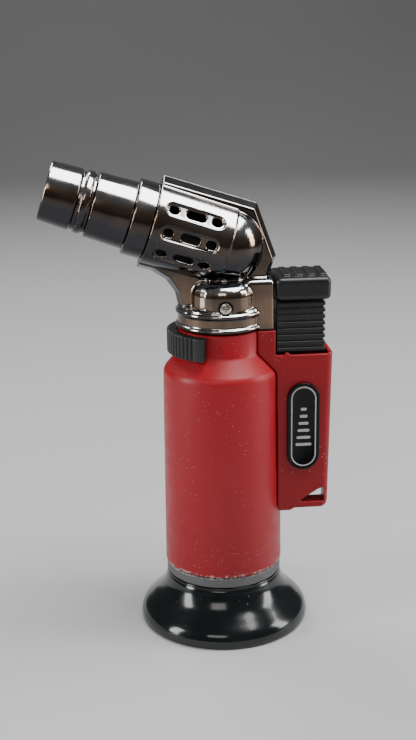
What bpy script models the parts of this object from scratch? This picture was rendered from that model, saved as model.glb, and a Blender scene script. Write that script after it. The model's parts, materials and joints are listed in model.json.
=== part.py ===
"""Butane torch for jewellery work: a pocket torch standing on a pull-off foot.

Origin: centre of the flat underside of the foot. +Z up, the nozzle points to -X,
the thumb trigger is on the +X side, the badge faces -Y. Blender units are metres.
"""

import math

import bmesh
import bpy
from mathutils import Matrix, Vector

MM = 0.001
GAP = 0.3 * MM                      # clearance between pieces that touch

# ---- driving dimensions -------------------------------------------------------------
TANK_RADIUS = 17.0 * MM             # red tank at its bottom edge
TANK_RADIUS_TOP = 16.5 * MM
TANK_BOTTOM = 18.7 * MM
TANK_SHOULDER = 75.4 * MM           # where the side starts to turn in
NECK_RADIUS = 12.1 * MM
NECK_TOP = 88.6 * MM
TANK_WALL = 1.2 * MM

FOOT_RADIUS = 24.6 * MM
FOOT_RIM_HEIGHT = 2.4 * MM
FOOT_TOP_RADIUS = 16.6 * MM
FOOT_TOP = 15.2 * MM
FOOT_SOCKET_RADIUS = 14.1 * MM
FOOT_FLOOR_TOP = 8.4 * MM
FOOT_FLOOR_BOTTOM = 6.6 * MM
FOOT_PLATE_RADIUS = 22.0 * MM
FOOT_PLATE_THICKNESS = 2.0 * MM

HEAD_BOTTOM = 88.9 * MM
COLLAR_RADIUS = 12.1 * MM
COLLAR_TOP = 94.9 * MM
BEAD_RADIUS = 0.65 * MM
BEAD_HEIGHTS = (89.7 * MM, 93.7 * MM)

DOME_CENTRE = Vector((1.45, 0.0, 111.8)) * MM
BARREL_PITCH = math.radians(18.2)   # rise of the barrel towards the nozzle
DOME_RADIUS = 10.9 * MM
BARREL_REAR_RADIUS = 11.25 * MM
BARREL_FRONT_RADIUS = 11.7 * MM
BARREL_LENGTH = 21.6 * MM
BARREL_BORE = 10.0 * MM
DOME_BORE = 9.6 * MM
FLANGE_HALF_WIDTH = 3.9 * MM
FLANGE_CROWN = 1.5 * MM

SLOT_ROW_ANGLES = (-34.0, 0.0, 34.0)
SLOT_WIDTH = 2.4 * MM
# centre along the barrel from the dome centre, length of the slot
SLOTS = ((17.1 * MM, 2.8 * MM), (10.9 * MM, 5.6 * MM), (5.1 * MM, 3.0 * MM))
SLOT_RECESS_LENGTH = 16.4 * MM
SLOT_RECESS_WIDTH = 3.8 * MM
SLOT_RECESS_DEPTH = 0.35 * MM

HOUSING_REAR = 30.8 * MM
HOUSING_TAPER = 1.1 * MM             # how far the rear leans in at the bottom
HOUSING_HALF_WIDTH = 8.3 * MM
HOUSING_WALL = 1.4 * MM
HOUSING_SIDE_TOP = 81.5 * MM
HOUSING_REAR_TOP = 81.8 * MM
HOUSING_BOTTOM = 34.6 * MM
HOUSING_CORNER = 2.0 * MM
LOOP_BACK = -2.9 * MM               # the lanyard loop lies between the near side and here
LOOP_TOP = 42.2 * MM

TRIGGER_FRONT = 14.5 * MM
TRIGGER_REAR = 29.9 * MM
TRIGGER_HALF_WIDTH = 8.2 * MM
TRIGGER_CAP_BOTTOM = 96.8 * MM
TRIGGER_CAP_TOP = 103.2 * MM
SKIRT_REAR = 28.0 * MM
SKIRT_HALF_WIDTH = 6.4 * MM
SKIRT_BOTTOM = 81.8 * MM
SKIRT_WALL = 1.3 * MM
RIB_COUNT = 8
RIB_PITCH = 1.85 * MM
RIB_HEIGHT = 1.1 * MM
RIB_DEPTH = 0.5 * MM

ADJUSTER_INNER = 12.4 * MM
ADJUSTER_OUTER = 15.3 * MM
ADJUSTER_BOTTOM = 81.9 * MM
ADJUSTER_TOP = 88.2 * MM
ADJUSTER_HALF_ANGLE = math.radians(66.0)
ADJUSTER_FLUTES = 19
ADJUSTER_FLUTE_DEPTH = 0.45 * MM

BADGE_CENTRE_X = 22.2 * MM
BADGE_CENTRE_Z = 60.6 * MM
BADGE_WIDTH = 9.2 * MM
BADGE_HEIGHT = 25.7 * MM

LEVER_PIVOT = Vector((9.6, 0.0, 90.9)) * MM
SEGMENTS = 28
BARREL_SEGMENTS = 30                # a flat facet, not an edge, under each row of slots
INNER_SEGMENTS = 14


# ---- scene and helpers ---------------------------------------------------------------
def clear_scene():
    for old in list(bpy.context.scene.objects):
        bpy.data.objects.remove(old, do_unlink=True)


clear_scene()
parts = bpy.data.collections.new("butane_torch")
cutters = bpy.data.collections.new("cutters")
for group in (parts, cutters):
    bpy.context.scene.collection.children.link(group)


def material(name, colour, roughness, metallic=0.0):
    mat = bpy.data.materials.new(name)
    mat.use_nodes = True
    shader = mat.node_tree.nodes["Principled BSDF"]
    shader.inputs["Base Color"].default_value = (*colour, 1.0)
    shader.inputs["Roughness"].default_value = roughness
    shader.inputs["Metallic"].default_value = metallic
    mat.diffuse_color = (*colour, 1.0)
    return mat


RED_PAINT = material("red_paint", (0.55, 0.02, 0.02), 0.55)
RED_PLASTIC = material("red_plastic", (0.50, 0.02, 0.02), 0.5)
BLACK_GLOSS = material("black_gloss_plastic", (0.01, 0.012, 0.012), 0.12)
BLACK_MATTE = material("black_matte_plastic", (0.02, 0.022, 0.022), 0.5)
GREY_PLASTIC = material("grey_plastic", (0.2, 0.2, 0.2), 0.55)
CLEAR_PLASTIC = material("clear_plastic", (0.7, 0.72, 0.7), 0.3)
DARK_CHROME = material("dark_chrome", (0.35, 0.34, 0.33), 0.08, 1.0)
STEEL = material("steel", (0.55, 0.55, 0.55), 0.3, 1.0)
BRASS = material("brass", (0.7, 0.5, 0.2), 0.3, 1.0)
CERAMIC = material("ceramic", (0.8, 0.78, 0.72), 0.4)
RUBBER = material("rubber", (0.02, 0.02, 0.02), 0.8)
WIRE_COVER = material("wire_cover", (0.6, 0.05, 0.05), 0.5)


def empty(name, location, rotation_y=0.0):
    obj = bpy.data.objects.new(name, None)
    obj.location = location
    obj.rotation_euler = (0.0, rotation_y, 0.0)
    parts.objects.link(obj)
    return obj


def finish(obj, mat, sharp_angle=40.0):
    """Link a finished piece to the torch, give it its material and smooth shading."""
    for group in list(obj.users_collection):
        group.objects.unlink(obj)
    parts.objects.link(obj)
    obj.data.materials.clear()
    obj.data.materials.append(mat)
    obj.data.shade_smooth()
    obj.data.set_sharp_from_angle(angle=math.radians(sharp_angle))
    return obj


def as_cutter(obj):
    for group in list(obj.users_collection):
        group.objects.unlink(obj)
    cutters.objects.link(obj)
    obj.hide_render = True
    obj.display_type = "WIRE"
    return obj


def place(obj, location=(0.0, 0.0, 0.0), parent=None, rotation=(0.0, 0.0, 0.0)):
    obj.location = location
    obj.rotation_euler = rotation
    obj.parent = parent
    return obj


def mesh_object(name, mesh):
    obj = bpy.data.objects.new(name, mesh)
    cutters.objects.link(obj)
    return obj


def bmesh_object(name, bm):
    mesh = bpy.data.meshes.new(name)
    bm.to_mesh(mesh)
    bm.free()
    return mesh_object(name, mesh)


def turned(name, profile, closed=True, steps=SEGMENTS):
    """A turned piece: (radius, height) points down the outer side, then back inside."""
    mesh = bpy.data.meshes.new(name)
    points = [(radius, 0.0, height) for radius, height in profile]
    edges = [(i, i + 1) for i in range(len(points) - 1)]
    if closed:
        edges.append((len(points) - 1, 0))
    mesh.from_pydata(points, edges, [])
    obj = mesh_object(name, mesh)
    screw = obj.modifiers.new("turn", "SCREW")
    screw.axis = "Z"
    screw.angle = 2 * math.pi
    screw.steps = steps
    screw.render_steps = steps
    screw.use_merge_vertices = True
    screw.merge_threshold = 0.00001
    return obj


def solid_disc(name, radius, bottom, top, steps=SEGMENTS):
    return turned(name, [(0.0, top), (radius, top), (radius, bottom), (0.0, bottom)], False, steps)


def box(name, low, high):
    """A box between two corners, its scale already in the mesh."""
    bm = bmesh.new()
    bmesh.ops.create_cube(bm, size=1.0)
    size = [high[i] - low[i] for i in range(3)]
    middle = [(high[i] + low[i]) / 2 for i in range(3)]
    for vert in bm.verts:
        for i in range(3):
            vert.co[i] = vert.co[i] * size[i]
    obj = bmesh_object(name, bm)
    obj.location = middle
    return obj


def outline_solid(name, points, depth, bevel=0.0):
    """An outline in its own XY plane, thickened to +-depth along its Z."""
    curve = bpy.data.curves.new(name, "CURVE")
    curve.dimensions = "2D"
    curve.fill_mode = "BOTH"
    curve.extrude = depth - bevel
    curve.bevel_depth = bevel
    curve.bevel_resolution = 0
    curve.offset = -bevel
    spline = curve.splines.new("POLY")
    spline.points.add(len(points) - 1)
    for point, (x, y) in zip(spline.points, points):
        point.co = (x, y, 0.0, 1.0)
    spline.use_cyclic_u = True
    return solid_from_curve(name, curve)


def solid_from_curve(name, curve):
    """The mesh of a curve, with its caps welded on."""
    source = bpy.data.objects.new(name + "_curve", curve)
    bpy.context.scene.collection.objects.link(source)
    graph = bpy.context.evaluated_depsgraph_get()
    mesh = bpy.data.meshes.new_from_object(source.evaluated_get(graph))
    bm = bmesh.new()
    bm.from_mesh(mesh)
    bmesh.ops.remove_doubles(bm, verts=bm.verts, dist=0.000001)
    bmesh.ops.recalc_face_normals(bm, faces=bm.faces)
    bm.to_mesh(mesh)
    bm.free()
    obj = mesh_object(name, mesh)
    obj.matrix_world = source.matrix_world
    bpy.data.objects.remove(source, do_unlink=True)
    return obj


def wire(name, points, radius, resolution=1):
    """A round wire or tube through the given points."""
    curve = bpy.data.curves.new(name, "CURVE")
    curve.dimensions = "3D"
    curve.bevel_depth = radius
    curve.bevel_resolution = resolution
    curve.use_fill_caps = True
    spline = curve.splines.new("POLY")
    spline.points.add(len(points) - 1)
    for point, co in zip(spline.points, points):
        point.co = (*co, 1.0)
    return solid_from_curve(name, curve)


def smooth_route(controls, steps=6):
    """Points along a Catmull-Rom curve through the control points."""
    controls = [Vector(c) for c in controls]
    ends = [2 * controls[0] - controls[1]] + controls + [2 * controls[-1] - controls[-2]]
    route = []
    for a, b, c, d in zip(ends, ends[1:], ends[2:], ends[3:]):
        for i in range(steps):
            t = i / steps
            route.append(0.5 * (2 * b + (c - a) * t + (2 * a - 5 * b + 4 * c - d) * t * t
                                + (3 * b - a - 3 * c + d) * t * t * t))
    route.append(controls[-1])
    return route


def coil_points(radius, bottom, top, turns, per_turn=7):
    """A compression spring's centre line, with the same pitch all the way up."""
    total = int(turns * per_turn)
    points = []
    for i in range(total + 1):
        angle = 2 * math.pi * i / per_turn
        share = i / total
        points.append((radius * math.cos(angle), radius * math.sin(angle),
                       bottom + (top - bottom) * share))
    return points


def combine(obj, other, operation):
    step = obj.modifiers.new(operation.lower(), "BOOLEAN")
    step.operation = operation
    step.object = other
    step.solver = "EXACT"
    return obj


def cut(obj, *tools):
    for tool in tools:
        combine(obj, as_cutter(tool), "DIFFERENCE")
    return obj


def join(obj, *others):
    for other in others:
        combine(obj, as_cutter(other), "UNION")
    return obj


def bevel(obj, width, segments=2, angle=40.0):
    step = obj.modifiers.new("edge", "BEVEL")
    step.width = width
    step.segments = segments
    step.limit_method = "ANGLE"
    step.angle_limit = math.radians(angle)
    return obj


def arc(cx, cy, radius, start, end, count):
    """Points on an arc, angles in degrees."""
    points = []
    for i in range(count + 1):
        angle = math.radians(start + (end - start) * i / count)
        points.append((cx + radius * math.cos(angle), cy + radius * math.sin(angle)))
    return points


def racetrack(length, width, count=6):
    """A pill outline, its long side along X."""
    half = (length - width) / 2
    return (arc(half, 0.0, width / 2, -90, 90, count)
            + arc(-half, 0.0, width / 2, 90, 270, count))


def rounded_rectangle(x0, x1, y0, y1, radius, count=3):
    return (arc(x1 - radius, y0 + radius, radius, -90, 0, count)
            + arc(x1 - radius, y1 - radius, radius, 0, 90, count)
            + arc(x0 + radius, y1 - radius, radius, 90, 180, count)
            + arc(x0 + radius, y0 + radius, radius, 180, 270, count))


def millimetres(points):
    return [(x * MM, z * MM) for x, z in points]


# ---- foot: a flared stand that pulls off the tank -------------------------------------
def make_foot():
    stand = empty("foot_stand_axis", (0.0, 0.0, 0.0))
    outer = [(FOOT_TOP_RADIUS, FOOT_TOP)]
    outer += millimetres([(16.8, 13.6), (17.5, 11.6), (19.0, 9.2), (21.3, 6.8), (23.7, 4.3)])
    outer += [(FOOT_RADIUS, FOOT_RIM_HEIGHT), (FOOT_RADIUS, 0.3 * MM), (FOOT_RADIUS - 0.3 * MM, 0.0)]
    under = [(FOOT_PLATE_RADIUS + GAP, 0.0), (FOOT_PLATE_RADIUS + GAP, FOOT_RIM_HEIGHT)]
    under += [(18.8 * MM, 6.0 * MM), (15.8 * MM, FOOT_FLOOR_BOTTOM), (0.0, FOOT_FLOOR_BOTTOM)]
    socket = [(0.0, FOOT_FLOOR_TOP), (FOOT_SOCKET_RADIUS, FOOT_FLOOR_TOP), (FOOT_SOCKET_RADIUS, FOOT_TOP)]
    shell = turned("foot_shell", socket + outer + under, False)
    place(finish(shell, BLACK_GLOSS), parent=stand)
    plate = solid_disc("foot_base_plate", FOOT_PLATE_RADIUS, 0.0, FOOT_PLATE_THICKNESS)
    place(finish(plate, RUBBER), parent=stand)


# ---- tank ------------------------------------------------------------------------------
def tank_outer():
    """The tank's outer side from the neck down, ending at its bottom edge."""
    rounding = 3.2
    shoulder = arc(16.5 - rounding, TANK_SHOULDER / MM, rounding, 50, 0, 4)
    points = millimetres([(12.1, 88.6), (12.1, 82.1), (12.4, 81.7)] + shoulder)
    return points + [(TANK_RADIUS, TANK_BOTTOM)]


def make_tank():
    outer = tank_outer()
    inner = [(TANK_RADIUS - TANK_WALL, TANK_BOTTOM), (TANK_RADIUS_TOP - TANK_WALL, TANK_SHOULDER)]
    inner += millimetres([(14.6, 77.4), (10.9, 81.2), (10.9, 88.6)])
    shell = turned("tank_shell", outer + inner)
    trigger_notch = box("trigger_notch", (14.3 * MM, -7.5 * MM, 75.6 * MM), (20 * MM, 7.5 * MM, 90 * MM))
    cut(shell, trigger_notch, adjuster_slot(), wire_hole())
    finish(shell, RED_PAINT)

    ring = turned("base_ring", [(16.7 * MM, 18.4 * MM), (16.7 * MM, 15.5 * MM),
                                (14.1 * MM, 15.5 * MM), (14.1 * MM, 18.4 * MM)])
    finish(ring, GREY_PLASTIC)

    cap = turned("tank_base_cap", millimetres([
        (15.4, 21.2), (15.4, 18.7), (13.8, 18.7), (13.8, 9.6), (13.2, 9.0), (12.2, 9.0), (12.2, 16.6),
        (6.6, 16.6), (6.6, 12.5), (4.6, 12.5), (4.6, 21.2)]), True, 24)
    finish(cap, BLACK_MATTE)

    reservoir = turned("fuel_reservoir", millimetres([
        (4.6, 80.6), (9.2, 80.6), (9.2, 75.4), (13.8, 70.6), (15.2, 68.0), (15.2, 21.5), (4.6, 21.5),
        (4.6, 22.9), (13.8, 22.9), (13.8, 67.5), (8.0, 73.5), (8.0, 79.2), (4.6, 79.2)]), True, 24)
    finish(reservoir, CLEAR_PLASTIC)


def adjuster_slot():
    """The slot in the neck that the adjuster's web turns in."""
    reach = 58.0
    points = arc(0.0, 0.0, 14.0, 180 - reach, 180 + reach, 12) + [(2.0, 0.0)]
    slot = outline_solid("adjuster_slot", millimetres(points), 1.3 * MM)
    slot.location = (0.0, 0.0, 85.0 * MM)
    return slot


def make_flame_adjuster():
    band = []
    half = math.degrees(ADJUSTER_HALF_ANGLE)
    plain = 13.0
    flute_step = (2 * half - 2 * plain) / ADJUSTER_FLUTES
    band += arc(0, 0, ADJUSTER_OUTER, 180 - half, 180 - half + plain - 1.0, 3)
    for i in range(ADJUSTER_FLUTES):
        start = 180 - half + plain + i * flute_step
        band += arc(0, 0, ADJUSTER_OUTER, start + 0.28 * flute_step, start + 0.72 * flute_step, 1)
        band += arc(0, 0, ADJUSTER_OUTER - ADJUSTER_FLUTE_DEPTH, start + 0.98 * flute_step,
                    start + 1.02 * flute_step, 1)
    band += arc(0, 0, ADJUSTER_OUTER, 180 + half - plain + 1.0, 180 + half, 3)
    band += arc(0, 0, ADJUSTER_INNER, 180 + half, 180 - half, 16)
    adjuster = outline_solid("flame_adjuster", band, (ADJUSTER_TOP - ADJUSTER_BOTTOM) / 2)
    adjuster.location = (0.0, 0.0, (ADJUSTER_TOP + ADJUSTER_BOTTOM) / 2)
    web_points = millimetres(arc(0, 0, 13.2, 162, 198, 5) + arc(0, 0, 5.4, 208, 152, 5))
    web = outline_solid("adjuster_web", web_points, 0.9 * MM)
    web.location = (0.0, 0.0, 85.0 * MM)
    hub = turned("adjuster_hub", millimetres([
        (6.8, 86.1), (6.8, 83.9), (4.7, 83.9), (4.7, 86.1)]), True, INNER_SEGMENTS)
    join(adjuster, web, hub)
    axis = empty("flame_adjuster_axis", (0.0, 0.0, 0.0))
    place(finish(adjuster, BLACK_MATTE, 25.0), adjuster.location, axis)


# ---- valves ----------------------------------------------------------------------------
def make_valves():
    body = turned("outlet_valve_body", millimetres([
        (2.4, 89.4), (4.3, 89.4), (4.3, 76.6), (3.4, 75.6), (3.4, 73.4), (1.0, 73.4), (1.0, 75.4),
        (2.6, 75.4), (2.6, 88.2), (2.4, 88.4)]), True, INNER_SEGMENTS)
    finish(body, BRASS)
    stem = turned("outlet_valve_stem", millimetres([
        (0.0, 93.7), (2.2, 93.7), (2.2, 92.9), (1.3, 92.9), (1.3, 84.4), (2.2, 84.2),
        (2.2, 83.2), (1.3, 83.0), (1.3, 78.0), (0.0, 77.8)]), False, 12)
    axis = empty("outlet_valve_axis", (0.0, 0.0, 83.0 * MM))
    place(finish(stem, BRASS), (0.0, 0.0, -83.0 * MM), axis)
    ring = turned("outlet_valve_oring", ring_profile(2.05, 0.4, 79.4), True, 12)
    place(finish(ring, RUBBER), (0.0, 0.0, -83.0 * MM), axis)
    spring = wire("outlet_valve_spring", coil_points(1.85 * MM, 84.9 * MM, 87.7 * MM, 4), 0.2 * MM)
    finish(spring, STEEL)

    fill = turned("fill_valve_body", millimetres([
        (2.5, 24.6), (4.3, 24.6), (4.3, 12.8), (3.4, 12.2), (3.4, 10.8), (1.9, 10.8), (1.9, 13.4),
        (2.5, 13.8)]), True, INNER_SEGMENTS)
    finish(fill, BRASS)
    axis = empty("fill_valve_axis", (0.0, 0.0, 14.0 * MM))
    stem = turned("fill_valve_stem", millimetres([
        (0.0, 20.6), (1.1, 20.6), (1.1, 16.4), (2.2, 16.2), (2.2, 15.0), (1.5, 14.8), (1.5, 9.6),
        (1.2, 9.3), (0.0, 9.3)]), False, 12)
    place(finish(stem, STEEL), (0.0, 0.0, -14.0 * MM), axis)
    spring = wire("fill_valve_spring", coil_points(1.75 * MM, 16.9 * MM, 23.6 * MM, 5), 0.22 * MM)
    finish(spring, STEEL)
    keeper = turned("fill_valve_keeper", millimetres([
        (1.4, 26.2), (4.1, 26.2), (4.1, 24.9), (2.2, 24.9), (2.2, 24.2), (1.4, 24.2)]), True, 12)
    finish(keeper, BRASS)


def ring_profile(radius, section, height, count=5):
    """A round ring's section, in millimetres, running the right way for a turned piece."""
    return [(x * MM, z * MM) for x, z in arc(radius, height, section, 90, -210, count - 1)]


# ---- cast head --------------------------------------------------------------------------
def along_barrel(distance, up=0.0):
    """A point in the head's upright plane, measured from the dome centre."""
    forward = Vector((-math.cos(BARREL_PITCH), 0.0, math.sin(BARREL_PITCH)))
    upward = Vector((math.sin(BARREL_PITCH), 0.0, math.cos(BARREL_PITCH)))
    return DOME_CENTRE + forward * distance + upward * up


def barrel_axis(name):
    return empty(name, DOME_CENTRE, -(math.pi / 2 - BARREL_PITCH))


def slot_frame(row_angle, distance, radius, side):
    """Placement on the barrel: X along the barrel, Z outwards."""
    angle = math.radians(row_angle)
    outward = Vector((math.sin(angle), side * math.cos(angle), 0.0))
    along = Vector((0.0, 0.0, 1.0))
    frame = Matrix((along, outward.cross(along), outward)).transposed().to_4x4()
    frame.translation = outward * radius + along * distance
    return frame


def slot_cutters(axis, side):
    """Three rows of air slots, each row in a shallow racetrack recess."""
    recess_middle = (SLOTS[0][0] + SLOTS[-1][0]) / 2
    recess_radius = BARREL_REAR_RADIUS - SLOT_RECESS_DEPTH + 1.5 * MM
    tools = []
    for row_angle in SLOT_ROW_ANGLES:
        for distance, length in SLOTS:
            tool = outline_solid("air_slot", racetrack(length, SLOT_WIDTH, 3), 2.5 * MM)
            tool.parent = axis
            tool.matrix_local = slot_frame(row_angle, distance, 10.5 * MM, side)
            tools.append(tool)
        recess = outline_solid("slot_recess", racetrack(SLOT_RECESS_LENGTH, SLOT_RECESS_WIDTH, 3), 1.5 * MM)
        recess.parent = axis
        recess.matrix_local = slot_frame(row_angle, recess_middle, recess_radius, side)
        tools.append(recess)
    return tools


def flange_outline():
    """The parting flange in the upright plane, from the top front corner round the back."""
    top_front = along_barrel(BARREL_LENGTH + 3 * MM, 13.2 * MM)
    bottom_front = along_barrel(BARREL_LENGTH + 3 * MM, -13.0 * MM)
    rear = [(10.3, 122.9), (15.6, 108.1), (14.3, 105.1), (13.5, 101.0), (13.5, 84.0), (-9.0, 84.0)]
    front = [(-11.9, 94.7), (-12.8, 98.9), (-15.2, 102.4), (-19.2, 105.1)]
    return ([(top_front.x, top_front.z)] + millimetres(rear) + millimetres(front)
            + [(bottom_front.x, bottom_front.z)])


def make_flange():
    """An upright plate whose rim slopes both ways from a ridge on the parting plane."""
    outline = flange_outline()
    ridge = 0.15 * MM
    plate = outline_solid("head_flange", outline, FLANGE_CROWN + ridge, FLANGE_CROWN)
    stretch = FLANGE_HALF_WIDTH / (FLANGE_CROWN + ridge)
    plate.data.transform(Matrix.Diagonal((1.0, 1.0, stretch, 1.0)))
    plate.data.transform(Matrix.Rotation(math.pi / 2, 4, "X"))
    return plate


def collar_profile():
    points = [(COLLAR_RADIUS - 0.5 * MM, COLLAR_TOP + 0.4 * MM), (COLLAR_RADIUS, COLLAR_TOP)]
    for height in sorted(BEAD_HEIGHTS, reverse=True):
        for x, z in arc(0.0, 0.0, BEAD_RADIUS, 90, -90, 4):
            points.append((COLLAR_RADIUS + x, height + z))
    points += [(COLLAR_RADIUS, 88.0 * MM), (0.0, 88.0 * MM)]
    return [(0.0, COLLAR_TOP + 0.4 * MM)] + points


def head_half(side):
    """One cast half: side -1 faces -Y and holds the screw head, side +1 is its mirror."""
    axis = barrel_axis("barrel_axis_near" if side < 0 else "barrel_axis_far")
    casting = turned("burner_head_near" if side < 0 else "burner_head_far", [
        (0.0, BARREL_LENGTH + 2 * MM), (BARREL_FRONT_RADIUS, BARREL_LENGTH + 2 * MM),
        (BARREL_FRONT_RADIUS, BARREL_LENGTH), (BARREL_REAR_RADIUS, 0.0), (0.0, 0.0)],
        False, BARREL_SEGMENTS)
    casting.parent = axis
    dome = turned("dome", [(x * DOME_RADIUS, z * DOME_RADIUS)
                           for x, z in arc(0.0, 0.0, 1.0, 90, -90, 12)], False)
    dome.parent = axis
    collar = turned("collar", collar_profile(), False)
    bulge_outline = [(y, x) for x, y in racetrack(24.2 * MM, 18.2 * MM, 9)]
    bulge = outline_solid("screw_bulge", bulge_outline, 9.2 * MM)
    bulge.location = (0.5 * MM, 0.0, 93.2 * MM)
    bevel(bulge, 3.6 * MM, 3, 60.0)
    shelf = box("shelf", (6.0 * MM, -8.0 * MM, 84.0 * MM), (14.1 * MM, 8.0 * MM, 102.9 * MM))
    bevel(shelf, 1.1 * MM, 2)
    join(casting, dome, make_flange(), collar, bulge, shelf)

    other_half = box("other_half", (-60 * MM, -60 * MM, 60 * MM), (60 * MM, 0.12 * MM, 160 * MM))
    if side < 0:
        other_half.location.y = -other_half.location.y
    front_end = solid_disc("front_end", 40 * MM, BARREL_LENGTH, BARREL_LENGTH + 30 * MM)
    bore = turned("bore", [
        (0.0, BARREL_LENGTH + 5 * MM), (BARREL_BORE, BARREL_LENGTH + 5 * MM), (BARREL_BORE, 0.0)]
        + [(x * DOME_BORE, z * DOME_BORE) for x, z in arc(0.0, 0.0, 1.0, -10, -90, 6)], False, 22)
    for tool in (front_end, bore):
        tool.parent = axis
    underside = box("underside", (-40 * MM, -40 * MM, 70 * MM), (40 * MM, 40 * MM, HEAD_BOTTOM))
    tower_bore = box("tower_bore", (-6.9 * MM, -3.2 * MM, 80 * MM), (7.4 * MM, 3.2 * MM, 105.0 * MM))
    valve_well = solid_disc("valve_well", 5.0 * MM, 80 * MM, 90.0 * MM, 20)
    lever_slot = box("lever_slot", (5 * MM, -1.6 * MM, 80.0 * MM), (20 * MM, 1.6 * MM, 93.1 * MM))
    pin_hole = solid_disc("pin_hole", 0.8 * MM, -5.2 * MM, 5.2 * MM, 12)
    place(pin_hole, LEVER_PIVOT, None, (math.pi / 2, 0, 0))
    cut(casting, other_half, front_end, underside, bore, tower_bore, valve_well, lever_slot, pin_hole,
        screw_hole(side), *slot_cutters(axis, side))
    finish(casting, DARK_CHROME, 35.0)


def make_head():
    for side in (-1, 1):
        head_half(side)
    make_head_screw()


SCREW_POSITION = Vector((0.2, -12.1, 96.2)) * MM


def screw_hole(side):
    """The near half has a clearance hole with a seat for the head, the far half a blind hole."""
    if side < 0:
        hole = turned("screw_hole", millimetres([
            (0.0, 5.0), (1.9, 5.0), (1.9, -1.2), (1.2, -1.5), (1.2, -10.0), (0.0, -10.0)]), False, 24)
    else:
        hole = solid_disc("screw_hole", 1.2 * MM, -22.2 * MM, -15.0 * MM, 24)
    hole.location = SCREW_POSITION
    hole.rotation_euler = (math.pi / 2, 0.0, 0.0)
    return hole


def make_head_screw():
    screw = turned("head_screw", millimetres([
        (0.0, 0.3), (1.1, 0.25), (1.6, -0.1), (1.6, -0.9), (0.9, -1.2), (0.9, -20.5), (0.5, -21.2),
        (0.0, -21.2)]), False, 24)
    blades = []
    for size in ((0.9, 0.17), (0.17, 0.9)):
        blades.append(box("driver_recess", (-size[0] * MM, -size[1] * MM, -0.6 * MM),
                          (size[0] * MM, size[1] * MM, 1.0 * MM)))
    for blade in blades:
        blade.location = SCREW_POSITION - Vector((0.0, 0.2, 0.0)) * MM
        blade.rotation_euler = (math.pi / 2, 0.0, 0.0)
    cut(screw, *blades)
    place(finish(screw, STEEL), SCREW_POSITION, None, (math.pi / 2, 0.0, 0.0))


# ---- nozzle and burner -------------------------------------------------------------------
def make_nozzle():
    axis = barrel_axis("nozzle_axis")
    pieces = {
        "nozzle_collar": (DARK_CHROME, [
            (10.55, 27.2), (10.7, 27.0), (10.7, 21.9), (9.6, 21.9), (9.6, 18.6), (8.5, 18.6), (8.5, 27.2)]),
        "nozzle_mid_tube": (DARK_CHROME, [
            (9.05, 38.2), (9.15, 38.0), (9.5, 27.7), (9.35, 27.5), (8.2, 27.5), (8.2, 23.6), (7.4, 23.6),
            (7.4, 38.2)]),
        "nozzle_bead_ring": (DARK_CHROME, [
            (8.25, 42.3), (8.25, 41.5), (8.65, 41.3), (8.85, 40.8), (8.85, 39.8), (8.65, 39.3), (8.25, 39.1),
            (8.25, 38.5), (7.4, 38.5), (7.4, 42.3)]),
        "nozzle_tip": (DARK_CHROME, [
            (8.1, 51.4), (8.35, 51.1), (8.4, 49.8), (8.7, 42.9), (8.55, 42.6), (7.4, 42.6), (7.4, 50.4),
            (7.8, 51.4)]),
        "mixing_tube": (STEEL, [
            (7.0, 44.2), (7.0, 41.0), (4.9, 36.0), (4.9, 9.0), (5.6, 3.2), (5.0, 3.2), (4.3, 9.0),
            (4.3, 36.4), (6.4, 41.4), (6.4, 44.2)]),
        "gas_jet": (BRASS, [
            (1.3, 1.8), (2.3, 1.0), (2.3, -2.6), (1.7, -3.4), (0.8, -3.4), (0.8, -1.0), (0.4, 0.6),
            (0.4, 1.8)]),
    }
    for name, (mat, profile) in pieces.items():
        steps = SEGMENTS if mat is DARK_CHROME else INNER_SEGMENTS
        place(finish(turned(name, millimetres(profile), True, steps), mat), (0, 0, 0), axis)

    holder = solid_disc("flame_holder", 7.0 * MM, 44.5 * MM, 46.0 * MM, 28)
    holes = [(2.2, 0.0, 1.3), (-1.6, 0.0, 0.9)]
    holes += [(x, y, 0.75) for x, y in arc(0.0, 0.0, 4.6, 33, 333, 5)]
    for x, y, radius in holes:
        hole = solid_disc("flame_hole", radius * MM, 43 * MM, 48 * MM, 8)
        place(hole, (x * MM, y * MM, 0.0), axis)
        cut(holder, hole)
    place(finish(holder, STEEL), (0, 0, 0), axis)

    insulator = turned("electrode_insulator", millimetres([
        (0.95, 46.8), (0.95, 5.6), (0.55, 5.6), (0.55, 46.8)]), True, 12)
    place(finish(insulator, CERAMIC), (2.2 * MM, 0, 0), axis)
    electrode = turned("spark_electrode", millimetres([
        (0.0, 47.8), (0.25, 47.6), (0.25, 5.0), (0.0, 5.0)]), False, 12)
    place(finish(electrode, STEEL), (2.2 * MM, 0, 0), axis)


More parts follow.
